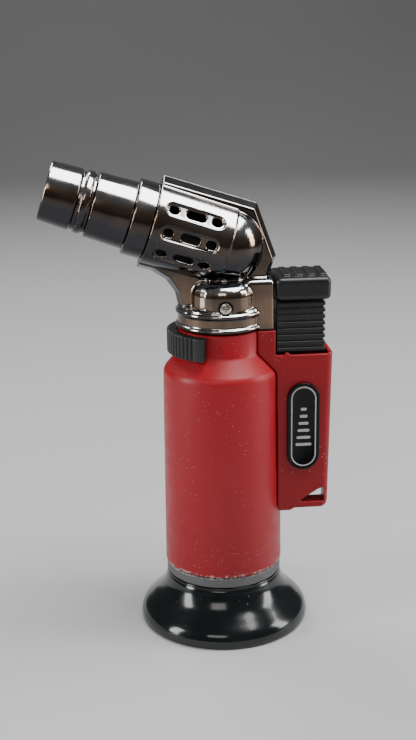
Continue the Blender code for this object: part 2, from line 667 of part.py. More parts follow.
def make_inner_lines():
    """The brass gas tube from the valve to the jet, and the lead from the piezo to the spark."""
    tube_route = smooth_route([
        Vector((-3.35, 0.0, 89.8)) * MM, Vector((-4.5, 0.0, 91.8)) * MM, Vector((-5.2, -0.6, 97.0)) * MM,
        Vector((-3.2, -2.0, 102.4)) * MM, Vector((2.6, -2.2, 103.8)) * MM,
        Vector((6.4, -2.0, 107.0)) * MM, along_barrel(-6.0 * MM, -1.0 * MM), along_barrel(-3.8 * MM)], 4)
    finish(wire("gas_tube", tube_route, 0.8 * MM), BRASS)
    lead_route = smooth_route([
        Vector((19.9, 3.1, 71.7)) * MM, Vector((19.6, 3.1, 73.2)) * MM, Vector((18.4, 3.0, 74.0)) * MM,
        Vector((14.4, 3.0, 74.2)) * MM, Vector((11.0, 3.2, 77.6)) * MM, Vector((8.8, 3.6, 82.4)) * MM,
        Vector((6.6, 2.5, 87.4)) * MM,
        Vector((6.3, 2.4, 93.0)) * MM, Vector((6.3, 2.4, 99.0)) * MM, Vector((6.5, 2.4, 104.6)) * MM,
        Vector((7.8, 2.0, 109.0)) * MM, along_barrel(-3.6 * MM, 5.6 * MM), along_barrel(1.0 * MM, 5.4 * MM),
        along_barrel(3.4 * MM, 2.8 * MM), along_barrel(4.6 * MM, 2.2 * MM)], 3)
    finish(wire("ignition_wire", lead_route, 0.5 * MM), WIRE_COVER)


# ---- trigger, piezo unit and valve lever ---------------------------------------------------
PIEZO_X = 22.4 * MM
WIRE_HOLE = Vector((17.0, 3.0, 74.0)) * MM


def wire_hole():
    hole = solid_disc("wire_hole", 1.1 * MM, -4.5 * MM, 4.5 * MM, 16)
    return place(hole, WIRE_HOLE, None, (0.0, math.pi / 2, 0.0))


def make_housing():
    corners = rounded_rectangle(8 * MM, HOUSING_REAR, -HOUSING_HALF_WIDTH, HOUSING_HALF_WIDTH,
                                HOUSING_CORNER, 4)
    height = NECK_TOP - HOUSING_BOTTOM
    housing = outline_solid("trigger_housing", corners, height / 2)
    housing.location = (0.0, 0.0, HOUSING_BOTTOM + height / 2)
    for vert in housing.data.vertices:
        if vert.co.z < 0 and vert.co.x > BADGE_CENTRE_X:
            vert.co.x -= HOUSING_TAPER
    clearance = turned("tank_clearance", [(0.0, 100 * MM)] + [(radius + GAP, z) for radius, z in (
        [(NECK_RADIUS, 100 * MM)] + tank_outer()[1:-1] + [(TANK_RADIUS, 0.0)])] + [(0.0, 0.0)], False)
    front = TRIGGER_FRONT - 0.15 * MM
    back = HOUSING_REAR - HOUSING_WALL
    inner = HOUSING_HALF_WIDTH - 1.1 * MM
    wide = 20 * MM
    tools = [
        clearance,
        box("top_step", (front, -wide, HOUSING_SIDE_TOP), (back, wide, 100 * MM)),
        box("rear_top", (back - MM, -wide, HOUSING_REAR_TOP), (40 * MM, wide, 100 * MM)),
        box("upper_bay", (front, -inner, 75.6 * MM), (back, inner, 100 * MM)),
        box("lower_bay", (18.8 * MM, -inner, 44.5 * MM), (back, inner, 76.0 * MM)),
        box("loop_back", (19.2 * MM, LOOP_BACK, 30 * MM), (40 * MM, wide, LOOP_TOP)),
        lanyard_slot(), lanyard_underside(), wire_hole(),
    ]
    cut(housing, *tools)
    nub = solid_disc("edge_nub", 0.7 * MM, -HOUSING_HALF_WIDTH + 0.1 * MM, -inner - 0.1 * MM, 12)
    place(nub, (17.6 * MM, 0.0, HOUSING_SIDE_TOP), None, (-math.pi / 2, 0.0, 0.0))
    join(housing, nub)
    finish(housing, RED_PLASTIC, 30.0)


def upright(obj):
    """Turns an outline drawn in X and Z from its own XY plane into the upright plane."""
    obj.data.transform(Matrix.Rotation(math.pi / 2, 4, "X"))
    return obj


def lanyard_slot():
    points = [(20.8, 37.3), (28.6, 37.3), (28.6, 41.6), (27.0, 41.2)]
    return upright(outline_solid("lanyard_slot", millimetres(points), 20 * MM))


def lanyard_underside():
    """What is cut away below the lanyard loop, with a round lower corner at the rear."""
    points = [(10.0, 30.0), (40.0, 30.0), (40.0, 38.0)] + arc(27.4, 38.0, 2.4, 0, -90, 4)
    points += [(20.0, 35.6), (18.8, 34.9), (10.0, 34.9)]
    return upright(outline_solid("lanyard_underside", millimetres(points), 20 * MM))


def make_trigger():
    axis = empty("trigger_press_axis", (PIEZO_X, 0.0, TRIGGER_CAP_TOP))
    offset = Vector((-PIEZO_X, 0.0, -TRIGGER_CAP_TOP))

    def on_axis(obj, mat):
        finish(obj, mat, 30.0)
        obj.location = obj.location + offset
        obj.parent = axis

    lever_way = ((14.0 * MM, -1.9 * MM, 88.8 * MM), (17.4 * MM, 1.9 * MM, 98.2 * MM))
    cap = box("trigger_cap", (TRIGGER_FRONT, -TRIGGER_HALF_WIDTH, TRIGGER_CAP_BOTTOM),
              (TRIGGER_REAR, TRIGGER_HALF_WIDTH, TRIGGER_CAP_TOP))
    bevel(cap, 1.4 * MM, 3)
    for i in range(4):
        x = 16.9 * MM + i * 3.4 * MM
        grip = box("grip_block", (x, -5.6 * MM, TRIGGER_CAP_TOP - MM), (x + 2.0 * MM, 5.6 * MM,
                                                                       TRIGGER_CAP_TOP + 0.6 * MM))
        join(cap, grip)
    hollow = box("cap_hollow", (TRIGGER_FRONT + 1.5 * MM, -6.6 * MM, 90 * MM),
                 (TRIGGER_REAR - 1.5 * MM, 6.6 * MM, TRIGGER_CAP_TOP - 1.6 * MM))
    cut(cap, hollow, box("lever_way", *lever_way))
    on_axis(cap, BLACK_MATTE)

    skirt_front = TRIGGER_FRONT + 0.4 * MM
    skirt_top = TRIGGER_CAP_BOTTOM - GAP
    skirt = box("trigger_skirt", (skirt_front, -SKIRT_HALF_WIDTH, SKIRT_BOTTOM),
                (SKIRT_REAR, SKIRT_HALF_WIDTH, skirt_top))
    for i in range(RIB_COUNT):
        z = skirt_top - (i + 1) * RIB_PITCH + 0.5 * (RIB_PITCH - RIB_HEIGHT)
        rib = box("rib", (skirt_front + 0.01 * MM, -SKIRT_HALF_WIDTH - RIB_DEPTH, z),
                  (SKIRT_REAR + RIB_DEPTH, SKIRT_HALF_WIDTH + RIB_DEPTH, z + RIB_HEIGHT))
        join(skirt, rib)
    hollow = box("skirt_hollow", (skirt_front + SKIRT_WALL, -SKIRT_HALF_WIDTH + SKIRT_WALL, 70 * MM),
                 (SKIRT_REAR - SKIRT_WALL, SKIRT_HALF_WIDTH - SKIRT_WALL, skirt_top - 1.5 * MM))
    cut(skirt, hollow, box("lever_way", *lever_way))
    on_axis(skirt, BLACK_MATTE)

    plunger = solid_disc("piezo_plunger", 2.0 * MM, 62.0 * MM, 94.7 * MM, 24)
    place(finish(plunger, BLACK_MATTE), (0.0, 0.0, -TRIGGER_CAP_TOP), axis)
    spring = wire("trigger_spring", coil_points(3.0 * MM, 71.9 * MM, 94.3 * MM, 6), 0.3 * MM)
    place(finish(spring, STEEL), (PIEZO_X, 0.0, 0.0))

    case = box("piezo_case", (PIEZO_X - 3.3 * MM, -3.7 * MM, 45.0 * MM),
               (PIEZO_X + 3.3 * MM, 3.7 * MM, 71.2 * MM))
    bevel(case, 0.5 * MM, 1)
    bore = solid_disc("plunger_bore", 2.4 * MM, 54 * MM, 80 * MM, 24)
    bore.location = (PIEZO_X, 0.0, 0.0)
    cut(case, bore)
    finish(case, BLACK_MATTE, 30.0)


def make_lever():
    axis = empty("valve_lever_axis", LEVER_PIVOT)
    outline = [(2.6, 0.7), (2.6, 1.7), (4.4, 1.7), (9.6, 1.3), (16.2, 0.6), (16.2, -0.6), (9.6, -1.3),
               (4.4, 0.4)]
    points = [(x * MM - LEVER_PIVOT.x, z * MM) for x, z in outline]
    lever = upright(outline_solid("valve_lever", points, 1.25 * MM))
    fork = box("lever_fork", (-2.0 * MM, -2.7 * MM, 91.6 * MM), (3.6 * MM, 2.7 * MM, 92.6 * MM))
    fork_way = box("fork_way", (-5.0 * MM, -1.7 * MM, 90 * MM), (1.8 * MM, 1.7 * MM, 95 * MM))
    for piece in (fork, fork_way):
        piece.location = piece.location - LEVER_PIVOT
        piece.parent = axis
    pivot_bore = solid_disc("pivot_bore", 0.8 * MM, -3 * MM, 3 * MM, 16)
    place(pivot_bore, (0, 0, 0), axis, (math.pi / 2, 0, 0))
    join(lever, fork)
    cut(lever, fork_way, pivot_bore)
    place(finish(lever, STEEL, 30.0), (0, 0, 0), axis)
    pin = solid_disc("lever_pin", 0.5 * MM, -4.8 * MM, 4.8 * MM, 16)
    place(finish(pin, STEEL), LEVER_PIVOT, None, (math.pi / 2, 0, 0))


def make_badge():
    badge = outline_solid("badge_plate", [(y, x) for x, y in racetrack(BADGE_HEIGHT, BADGE_WIDTH, 10)],
                          0.4 * MM)
    bevel(badge, 0.25 * MM, 2)
    place(finish(badge, BLACK_GLOSS), (BADGE_CENTRE_X, -HOUSING_HALF_WIDTH - GAP - 0.4 * MM, BADGE_CENTRE_Z),
          None, (math.pi / 2, 0.0, 0.0))


make_foot()
make_tank()
make_flame_adjuster()
make_valves()
make_head()
make_nozzle()
make_inner_lines()
make_housing()
make_trigger()
make_lever()
make_badge()
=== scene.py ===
# %% [markdown]
# # A pocket butane torch
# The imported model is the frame: it gives the bodies, the joints and the exact boxes of all pieces.
# Every piece is then made again with a finer surface, or keeps its shape and gets a finish.
# Lengths of pieces are written in millimetres and turned to metres as the meshes are made. The
# floor and the lights are written in metres.

# %% Load the frame and measure it
import json
import math

import bmesh
import bpy
from mathutils import Matrix, Vector

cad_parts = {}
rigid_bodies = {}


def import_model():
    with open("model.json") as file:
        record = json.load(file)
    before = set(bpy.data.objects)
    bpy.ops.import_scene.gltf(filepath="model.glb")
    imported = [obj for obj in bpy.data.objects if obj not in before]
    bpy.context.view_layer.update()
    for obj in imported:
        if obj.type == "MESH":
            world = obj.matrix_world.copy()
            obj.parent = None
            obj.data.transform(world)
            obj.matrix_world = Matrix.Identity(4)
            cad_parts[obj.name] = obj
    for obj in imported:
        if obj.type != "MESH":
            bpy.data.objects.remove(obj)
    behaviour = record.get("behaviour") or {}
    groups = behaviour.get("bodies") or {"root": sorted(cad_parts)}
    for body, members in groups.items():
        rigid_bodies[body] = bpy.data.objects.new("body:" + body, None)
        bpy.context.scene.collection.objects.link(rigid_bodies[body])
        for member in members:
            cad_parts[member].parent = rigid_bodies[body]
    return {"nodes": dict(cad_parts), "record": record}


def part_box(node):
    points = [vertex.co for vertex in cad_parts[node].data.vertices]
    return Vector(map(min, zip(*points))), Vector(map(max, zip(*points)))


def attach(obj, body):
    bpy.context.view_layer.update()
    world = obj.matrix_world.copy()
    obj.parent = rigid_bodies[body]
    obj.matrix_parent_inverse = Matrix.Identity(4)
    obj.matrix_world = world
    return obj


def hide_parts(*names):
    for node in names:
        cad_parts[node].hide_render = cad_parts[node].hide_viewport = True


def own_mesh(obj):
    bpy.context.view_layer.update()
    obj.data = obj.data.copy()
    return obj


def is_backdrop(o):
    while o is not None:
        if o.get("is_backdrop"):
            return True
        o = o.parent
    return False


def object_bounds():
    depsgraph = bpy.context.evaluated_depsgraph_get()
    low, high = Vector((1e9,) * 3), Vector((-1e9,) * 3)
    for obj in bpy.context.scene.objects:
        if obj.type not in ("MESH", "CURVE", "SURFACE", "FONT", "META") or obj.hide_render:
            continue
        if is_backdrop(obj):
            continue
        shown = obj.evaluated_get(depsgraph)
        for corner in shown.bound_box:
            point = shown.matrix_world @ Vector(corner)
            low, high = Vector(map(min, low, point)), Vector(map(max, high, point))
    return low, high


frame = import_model()
cad_bounds = [list(corner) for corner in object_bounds()]
MM = 0.001
print("CAD box in mm", [[round(v / MM, 1) for v in corner] for corner in cad_bounds])

# %% [markdown]
# ## Helpers for making shapes
# Most pieces are turned, so one helper spins a profile. Cast and moulded pieces are joined and cut
# with Booleans, then remeshed and smoothed, which rounds every edge as a real mould does.

# %% Small mesh helpers
SCRATCH = bpy.data.collections.new("scratch")
bpy.context.scene.collection.children.link(SCRATCH)


def new_object(name, mesh):
    obj = bpy.data.objects.new(name, mesh)
    SCRATCH.objects.link(obj)
    return obj


def discard(obj):
    bpy.data.objects.remove(obj, do_unlink=True)


def from_bmesh(name, bm):
    bmesh.ops.remove_doubles(bm, verts=bm.verts, dist=0.0005 * MM)
    bmesh.ops.recalc_face_normals(bm, faces=bm.faces)
    mesh = bpy.data.meshes.new(name)
    bm.to_mesh(mesh)
    bm.free()
    return new_object(name, mesh)


def plain_mesh(obj):
    """The object as its modifiers leave it, its place moved into the mesh; the source is removed."""
    name = obj.name
    graph = bpy.context.evaluated_depsgraph_get()
    evaluated = obj.evaluated_get(graph)
    mesh = bpy.data.meshes.new_from_object(evaluated)
    mesh.transform(evaluated.matrix_world)
    discard(obj)
    return new_object(name, mesh)


def show(obj):
    SCRATCH.objects.unlink(obj)
    bpy.context.scene.collection.objects.link(obj)


def twin(obj, name):
    return new_object(name, obj.data.copy())


def boolean(obj, tools, operation):
    for tool in tools:
        step = obj.modifiers.new("step", "BOOLEAN")
        step.operation = operation
        step.object = tool
        step.solver = "MANIFOLD"
    result = plain_mesh(obj)
    for tool in tools:
        discard(tool)
    return result


def moulded(obj, voxel, smoothing):
    """Remeshes a shape finely, lays it back on the exact shape, then smooths it a little, which
    rounds its edges. The voxel is in millimetres."""
    exact = twin(obj, "exact_shape")
    remesh = obj.modifiers.new("remesh", "REMESH")
    remesh.mode = "VOXEL"
    remesh.voxel_size = voxel * MM
    wrap = obj.modifiers.new("wrap", "SHRINKWRAP")
    wrap.target = exact
    smooth = obj.modifiers.new("smooth", "SMOOTH")
    smooth.factor = 0.5
    smooth.iterations = smoothing
    result = plain_mesh(obj)
    discard(exact)
    return result


def finished(obj, material, body, replaced=(), sharp=0.0):
    """Gives a finished piece its material and its body, and hides the frame nodes that it stands for.
    """
    show(obj)
    mesh = obj.data
    mesh.materials.clear()
    mesh.materials.append(material)
    mesh.polygons.foreach_set("material_index", [0] * len(mesh.polygons))
    mesh.shade_smooth()
    if sharp:
        mesh.set_sharp_from_angle(angle=math.radians(sharp))
    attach(obj, body)
    if replaced:
        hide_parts(*replaced)
    print(obj.name, len(mesh.polygons), "faces, rides on", body)
    return obj


# %% [markdown]
# Outlines are drawn flat, as a toolmaker draws a section, then turned or thickened.

# %% Outlines and solids
def arc(cx, cy, radius, start, end, count):
    """Points on an arc, angles in degrees."""
    angles = [math.radians(start + (end - start) * i / count) for i in range(count + 1)]
    return [(cx + radius * math.cos(a), cy + radius * math.sin(a)) for a in angles]


def racetrack(length, width, count=14):
    """A pill outline, its long side along X."""
    half = (length - width) / 2
    return arc(half, 0.0, width / 2, -90, 90, count) + arc(-half, 0.0, width / 2, 90, 270, count)


def rounded_rectangle(x0, x1, y0, y1, radius, count=8):
    return (arc(x1 - radius, y0 + radius, radius, -90, 0, count)
            + arc(x1 - radius, y1 - radius, radius, 0, 90, count)
            + arc(x0 + radius, y1 - radius, radius, 90, 180, count)
            + arc(x0 + radius, y0 + radius, radius, 180, 270, count))


def softened(points, radius=0.2, count=3):
    """A closed outline with each corner rounded, less where an edge is short."""
    result = []
    for i, point in enumerate(points):
        corner = Vector(point)
        before = Vector(points[i - 1]) - corner
        after = Vector(points[(i + 1) % len(points)]) - corner
        start = corner + before.normalized() * min(radius, before.length * 0.45)
        end = corner + after.normalized() * min(radius, after.length * 0.45)
        for k in range(count + 1):
            t = k / count
            soft = start * (1 - t) ** 2 + corner * 2 * t * (1 - t) + end * t * t
            result.append((soft.x, soft.y))
    return result


def flowing(points, steps=6):
    """A smooth curve through the points."""
    ends = [Vector(p) for p in [points[0]] + list(points) + [points[-1]]]
    route = []
    for a, b, c, d in zip(ends, ends[1:], ends[2:], ends[3:]):
        for i in range(steps):
            t = i / steps
            route.append(0.5 * (2 * b + (c - a) * t + (2 * a - 5 * b + 4 * c - d) * t * t
                                + (3 * b - a - 3 * c + d) * t * t * t))
    route.append(ends[-1])
    return [tuple(point) for point in route]


def turned(name, profile, closed=True, steps=144, matrix=None):
    """A turned piece from (radius, height) points; an open profile starts and ends on the axis."""
    bm = bmesh.new()
    turns = [2 * math.pi * i / steps for i in range(steps)]
    rings = []
    for radius, height in profile:
        if radius < 0.0001:
            rings.append([bm.verts.new((0.0, 0.0, height * MM))])
        else:
            r = radius * MM
            rings.append([bm.verts.new((r * math.cos(a), r * math.sin(a), height * MM)) for a in turns])
    pairs = list(zip(rings, rings[1:]))
    if closed:
        pairs.append((rings[-1], rings[0]))
    for first, second in pairs:
        for i in range(steps):
            j = (i + 1) % steps
            corners = (first[i % len(first)], second[i % len(second)],
                       second[j % len(second)], first[j % len(first)])
            corners = list(dict.fromkeys(corners))
            if len(corners) > 2:
                bm.faces.new(corners)
    obj = from_bmesh(name, bm)
    if matrix:
        obj.data.transform(matrix)
    return obj


def at(x, y=0.0, z=0.0):
    """A shift in millimetres."""
    return Matrix.Translation(Vector((x, y, z)) * MM)


def laid(x, y, z, axis, sign=1):
    """A place in millimetres, turned over by a quarter about one axis."""
    return at(x, y, z) @ Matrix.Rotation(sign * math.pi / 2, 4, axis)


def disc(name, radius, bottom, top, steps=48, matrix=None):
    profile = [(0.0, top), (radius, top), (radius, bottom), (0.0, bottom)]
    return turned(name, profile, False, steps, matrix)


def loft(name, rings, closed=False):
    """A solid skinned over rings of (x, y, z) points, with flat caps or closed on its first ring."""
    bm = bmesh.new()
    made = [[bm.verts.new((x * MM, y * MM, z * MM)) for x, y, z in ring] for ring in rings]
    count = len(made[0])
    for lower, upper in zip(made, made[1:] + made[:1] if closed else made[1:]):
        for i in range(count):
            j = (i + 1) % count
            bm.faces.new((lower[i], lower[j], upper[j], upper[i]))
    if not closed:
        bm.faces.new(made[0][::-1])
        bm.faces.new(made[-1])
    return from_bmesh(name, bm)


def slab(name, outline, bottom, top):
    return loft(name, [[(x, y, z) for x, y in outline] for z in (bottom, top)])


def upright_slab(name, outline, half_depth):
    """An outline of (x, z) points thickened to both sides of the middle plane."""
    return loft(name, [[(x, y, z) for x, z in outline] for y in (half_depth, -half_depth)])


def block(name, lowest, highest, rounding=0.0, segments=4):
    """A box between two corners, with rounded edges."""
    bm = bmesh.new()
    bmesh.ops.create_cube(bm, size=1.0)
    for vert in bm.verts:
        for i in range(3):
            vert.co[i] = (lowest[i] + (vert.co[i] + 0.5) * (highest[i] - lowest[i])) * MM
    if rounding:
        bmesh.ops.bevel(bm, geom=bm.edges[:] + bm.verts[:], offset=rounding * MM, segments=segments,
                        profile=0.5, affect="EDGES")
    return from_bmesh(name, bm)


# %% [markdown]
# ## Node trees for what repeats
# Ribs, grip blocks and bars stand in a straight row. Flutes and air slots stand round an axis.
# A spring is a wire swept along a spiral. Each has one tree, and its sizes are the tree's inputs.

# %% Geometry node trees
def new_tree(name, **sockets):
    """A tree with these inputs between Geometry and Material. Underscores stand for spaces."""
    tree = bpy.data.node_groups.new(name, "GeometryNodeTree")
    for label, kind in {"Geometry": "Geometry", **sockets, "Material": "Material"}.items():
        tree.interface.new_socket(label.replace("_", " "), in_out="INPUT",
                                  socket_type="NodeSocket" + kind)
    tree.interface.new_socket("Geometry", in_out="OUTPUT", socket_type="NodeSocketGeometry")
    return tree, tree.nodes.new("NodeGroupInput")


def join(tree, *pairs):
    for output, socket in pairs:
        tree.links.new(output, socket)


def close_tree(tree, source, geometry):
    """Every tree ends the same way: real geometry, then the material."""
    realize = tree.nodes.new("GeometryNodeRealizeInstances")
    paint = tree.nodes.new("GeometryNodeSetMaterial")
    end = tree.nodes.new("NodeGroupOutput")
    join(tree,
         (geometry, realize.inputs["Geometry"]),
         (realize.outputs["Geometry"], paint.inputs["Geometry"]),
         (source.outputs["Material"], paint.inputs["Material"]),
         (paint.outputs["Geometry"], end.inputs["Geometry"]))


def math_node(tree, operation, first, second):
    node = tree.nodes.new("ShaderNodeMath")
    node.operation = operation
    for socket, value in zip(node.inputs, (first, second)):
        if isinstance(value, float):
            socket.default_value = value
        else:
            tree.links.new(value, socket)
    return node.outputs[0]


def stamped(tree, source, line):
    """Places the stamp object on each point of a line."""
    stamp = tree.nodes.new("GeometryNodeObjectInfo")
    place = tree.nodes.new("GeometryNodeInstanceOnPoints")
    join(tree,
         (source.outputs["Stamp"], stamp.inputs["Object"]),
         (line.outputs["Mesh"], place.inputs["Points"]),
         (stamp.outputs["Geometry"], place.inputs["Instance"]),
         (source.outputs["Count"], line.inputs["Count"]))
    return place


def row_tree():
    """Copies in a straight row, each one narrower than the last by the shrink."""
    tree, source = new_tree("straight_row", Stamp="Object", Count="Int", Step="Vector", Shrink="Float")
    line = tree.nodes.new("GeometryNodeMeshLine")
    place = stamped(tree, source, line)
    tree.links.new(source.outputs["Step"], line.inputs["Offset"])
    index = tree.nodes.new("GeometryNodeInputIndex").outputs[0]
    loss = math_node(tree, "MULTIPLY", index, source.outputs["Shrink"])
    scale = tree.nodes.new("ShaderNodeCombineXYZ")
    scale.inputs["Y"].default_value = 1.0
    scale.inputs["Z"].default_value = 1.0
    join(tree,
         (math_node(tree, "SUBTRACT", 1.0, loss), scale.inputs["X"]),
         (scale.outputs[0], place.inputs["Scale"]))
    close_tree(tree, source, place.outputs["Instances"])
    return tree


def ring_tree():
    """Copies turned about the Z axis, from the first angle on."""
    tree, source = new_tree("round_axis", Stamp="Object", Count="Int", First_Angle="Float",
                            Angle_Step="Float")
    line = tree.nodes.new("GeometryNodeMeshLine")
    line.inputs["Offset"].default_value = (0.0, 0.0, 0.0)
    place = stamped(tree, source, line)
    index = tree.nodes.new("GeometryNodeInputIndex").outputs[0]
    swing = math_node(tree, "MULTIPLY", index, source.outputs["Angle Step"])
    turn = tree.nodes.new("ShaderNodeCombineXYZ")
    join(tree,
         (math_node(tree, "ADD", swing, source.outputs["First Angle"]), turn.inputs["Z"]),
         (turn.outputs[0], place.inputs["Rotation"]))
    close_tree(tree, source, place.outputs["Instances"])
    return tree


def coil_tree():
    """A compression spring: wire swept along a spiral."""
    tree, source = new_tree("coil_spring", Turns="Float", Coil_Radius="Float", Wire_Radius="Float",
                            Length="Float", Foot="Vector")
    spiral = tree.nodes.new("GeometryNodeCurveSpiral")
    spiral.inputs["Resolution"].default_value = 40
    circle = tree.nodes.new("GeometryNodeCurvePrimitiveCircle")
    circle.inputs["Resolution"].default_value = 12
    sweep = tree.nodes.new("GeometryNodeCurveToMesh")
    sweep.inputs["Fill Caps"].default_value = True
    move = tree.nodes.new("GeometryNodeTransform")
    join(tree,
         (source.outputs["Turns"], spiral.inputs["Rotations"]),
         (source.outputs["Coil Radius"], spiral.inputs["Start Radius"]),
         (source.outputs["Coil Radius"], spiral.inputs["End Radius"]),
         (source.outputs["Length"], spiral.inputs["Height"]),
         (source.outputs["Wire Radius"], circle.inputs["Radius"]),
         (spiral.outputs["Curve"], sweep.inputs["Curve"]),
         (circle.outputs["Curve"], sweep.inputs["Profile Curve"]),
         (sweep.outputs["Mesh"], move.inputs["Geometry"]),
         (source.outputs["Foot"], move.inputs["Translation"]))
    close_tree(tree, source, move.outputs["Geometry"])
    return tree


ROW = row_tree()
RING = ring_tree()
COIL = coil_tree()


def grown(name, tree, material, **values):
    """Runs a tree once and keeps its mesh. Underscores in an input's name stand for spaces."""
    holder = new_object(name, bpy.data.meshes.new(name))
    step = holder.modifiers.new("nodes", "NODES")
    step.node_group = tree
    wanted = {label.replace("_", " "): value for label, value in values.items()}
    wanted["Material"] = material
    for item in tree.interface.items_tree:
        if item.in_out == "INPUT" and item.name in wanted:
            step[item.identifier] = wanted[item.name]
    result = plain_mesh(holder)
    if "Stamp" in wanted:
        discard(wanted["Stamp"])
    return result


print("trees:", [tree.name for tree in (ROW, RING, COIL)])

# %% [markdown]
# ## Finishes
# A small kit wires up the shader nodes. Every finish works in the piece's own metres, so a grain of
# a tenth of a millimetre is a tenth of a millimetre on every piece.

# %% The finish kit
BARREL_PITCH = math.radians(18.2)
BARREL_POINT = Vector((1.45, 0.0, 111.8))
BARREL_DIRECTION = (-math.cos(BARREL_PITCH), 0.0, math.sin(BARREL_PITCH))


class Finish:
    """One material: a Principled shader fed by procedural textures."""

    def __init__(self, name, **settings):
        self.material = bpy.data.materials.new(name)
        self.material.use_nodes = True
        self.tree = self.material.node_tree
        self.shader = self.tree.nodes["Principled BSDF"]
        self.place = self.tree.nodes.new("ShaderNodeTexCoord").outputs["Object"]
        for label, value in settings.items():
            self.shader.inputs[label.replace("_", " ")].default_value = value

    def feed(self, socket, value):
        if isinstance(value, bpy.types.NodeSocket):
            self.tree.links.new(value, socket)
        elif isinstance(value, tuple) and len(value) == 3 and socket.type == "RGBA":
            socket.default_value = (*value, 1.0)
        else:
            socket.default_value = value

    def node(self, kind, output, sockets, **setup):
        """A new node, set up first and then fed; sockets goes from input names to values."""
        node = self.tree.nodes.new(kind)
        for label, value in setup.items():
            setattr(node, label, value)
        for key, value in sockets.items():
            self.feed(node.inputs[key], value)
        return node.outputs[output]

    def noise(self, scale, detail=4.0, roughness=0.55, stretch=None):
        place = self.place
        if stretch:
            place = self.node("ShaderNodeMapping", 0, {"Vector": place, "Scale": stretch})
        return self.node("ShaderNodeTexNoise", 0, {
            "Vector": place, "Scale": scale, "Detail": detail, "Roughness": roughness})

    def cells(self, scale):
        return self.node("ShaderNodeTexVoronoi", "Distance", {"Vector": self.place, "Scale": scale})

    def axis(self, name):
        return self.node("ShaderNodeSeparateXYZ", name, {0: self.place})

    def from_axis(self):
        """The distance from the barrel's axis, and behind the barrel from the dome's centre."""
        away = self.vector("SUBTRACT", self.place, tuple(BARREL_POINT * MM))
        forward = self.vector("DOT_PRODUCT", away, BARREL_DIRECTION, "Value")
        along = self.vector("MULTIPLY", BARREL_DIRECTION, self.calc("MAXIMUM", forward, 0.0))
        aside = self.vector("SUBTRACT", away, along)
        return self.vector("LENGTH", aside, (0.0, 0.0, 0.0), "Value")

    def vector(self, operation, first, second, output="Vector"):
        return self.node("ShaderNodeVectorMath", output, {0: first, 1: second}, operation=operation)

    def facing(self, name):
        """The part of the surface's own direction that lies along one axis."""
        normal = self.node("ShaderNodeNewGeometry", "Normal", {})
        return self.node("ShaderNodeSeparateXYZ", name, {0: normal})

    def edges(self, start=0.52, end=0.60):
        """White on outward edges: wear from handling, and on the gun-metal plating a painted highlight
        too.
        """
        return self.spread(self.node("ShaderNodeNewGeometry", "Pointiness", {}), start, end)

    def spread(self, value, start, end, low=0.0, high=1.0):
        return self.node("ShaderNodeMapRange", 0, dict(enumerate((value, start, end, low, high))))

    def calc(self, operation, first, second):
        return self.node("ShaderNodeMath", 0, {0: first, 1: second}, operation=operation)

    def mix(self, share, first, second):
        return self.node("ShaderNodeMix", 2, {0: share, 6: first, 7: second}, data_type="RGBA")

    def colour(self, share, first, second):
        self.feed(self.shader.inputs["Base Color"], self.mix(share, first, second))

    def roughness(self, value):
        self.feed(self.shader.inputs["Roughness"], value)

    def sheen(self, scale, detail, low, high):
        """A roughness that wanders between two values."""
        self.roughness(self.spread(self.noise(scale, detail), 0.3, 0.7, low, high))

    def bump(self, height, distance, strength=0.4):
        self.feed(self.shader.inputs["Normal"], self.node("ShaderNodeBump", 0, {
            "Height": height, "Distance": distance * MM, "Strength": strength}))


# %% [markdown]
# ## Red paint and red plastic
# The tank is a drawn metal tube with a satin stoved paint. It has a faint orange peel, a slow
# change of tone, small dust specks, and chips of primer along its bottom edge. The housing is
# moulded in a plastic of the same red, a little darker and duller, with a fine spark texture.

# %% Reds
def speck_mask(finish, scale, size):
    """Small scattered dots, kept only where a slow noise lets them be."""
    dots = finish.spread(finish.cells(scale), size, size * 0.4)
    return finish.calc("MULTIPLY", dots, finish.spread(finish.noise(160.0, 2.0), 0.50, 0.58))


def make_red_paint():
    finish = Finish("stoved_red", Coat_Weight=0.06, Coat_Roughness=0.25, Specular_IOR_Level=0.38)
    tone = finish.mix(finish.noise(45.0), (0.29, 0.003, 0.009), (0.37, 0.006, 0.014))
    dusty = finish.mix(speck_mask(finish, 1100.0, 0.13), tone, (0.66, 0.45, 0.43))
    edge = finish.spread(finish.axis("Z"), 19.7 * MM, 19.0 * MM)
    chips = finish.calc("MULTIPLY", edge, finish.spread(finish.noise(1150.0, 4.0, 0.6), 0.52, 0.56))
    finish.colour(chips, dusty, (0.52, 0.42, 0.40))
    finish.sheen(240.0, 6.0, 0.36, 0.50)
    finish.bump(finish.noise(1400.0, 3.0), 0.05, 0.14)
    return finish.material


def make_red_plastic():
    finish = Finish("moulded_red", Specular_IOR_Level=0.36)
    tone = finish.mix(finish.noise(70.0), (0.23, 0.002, 0.006), (0.30, 0.004, 0.010))
    dusty = finish.mix(speck_mask(finish, 800.0, 0.13), tone, (0.70, 0.52, 0.50))
    finish.colour(finish.edges(0.53, 0.66), dusty, (0.50, 0.05, 0.06))
    finish.sheen(420.0, 6.0, 0.34, 0.48)
    finish.bump(finish.noise(3600.0, 3.0), 0.03, 0.22)
    return finish.material


RED_PAINT = make_red_paint()
RED_PLASTIC = make_red_plastic()
print("made", RED_PAINT.name, "and", RED_PLASTIC.name)

# %% [markdown]
# ## Black plastics
# The foot is polished black, so its roughness is low. It has wiped smears and a faint slow wave.
# Trigger, skirt and adjuster are moulded with a matte spark texture that wears grey on the edges.

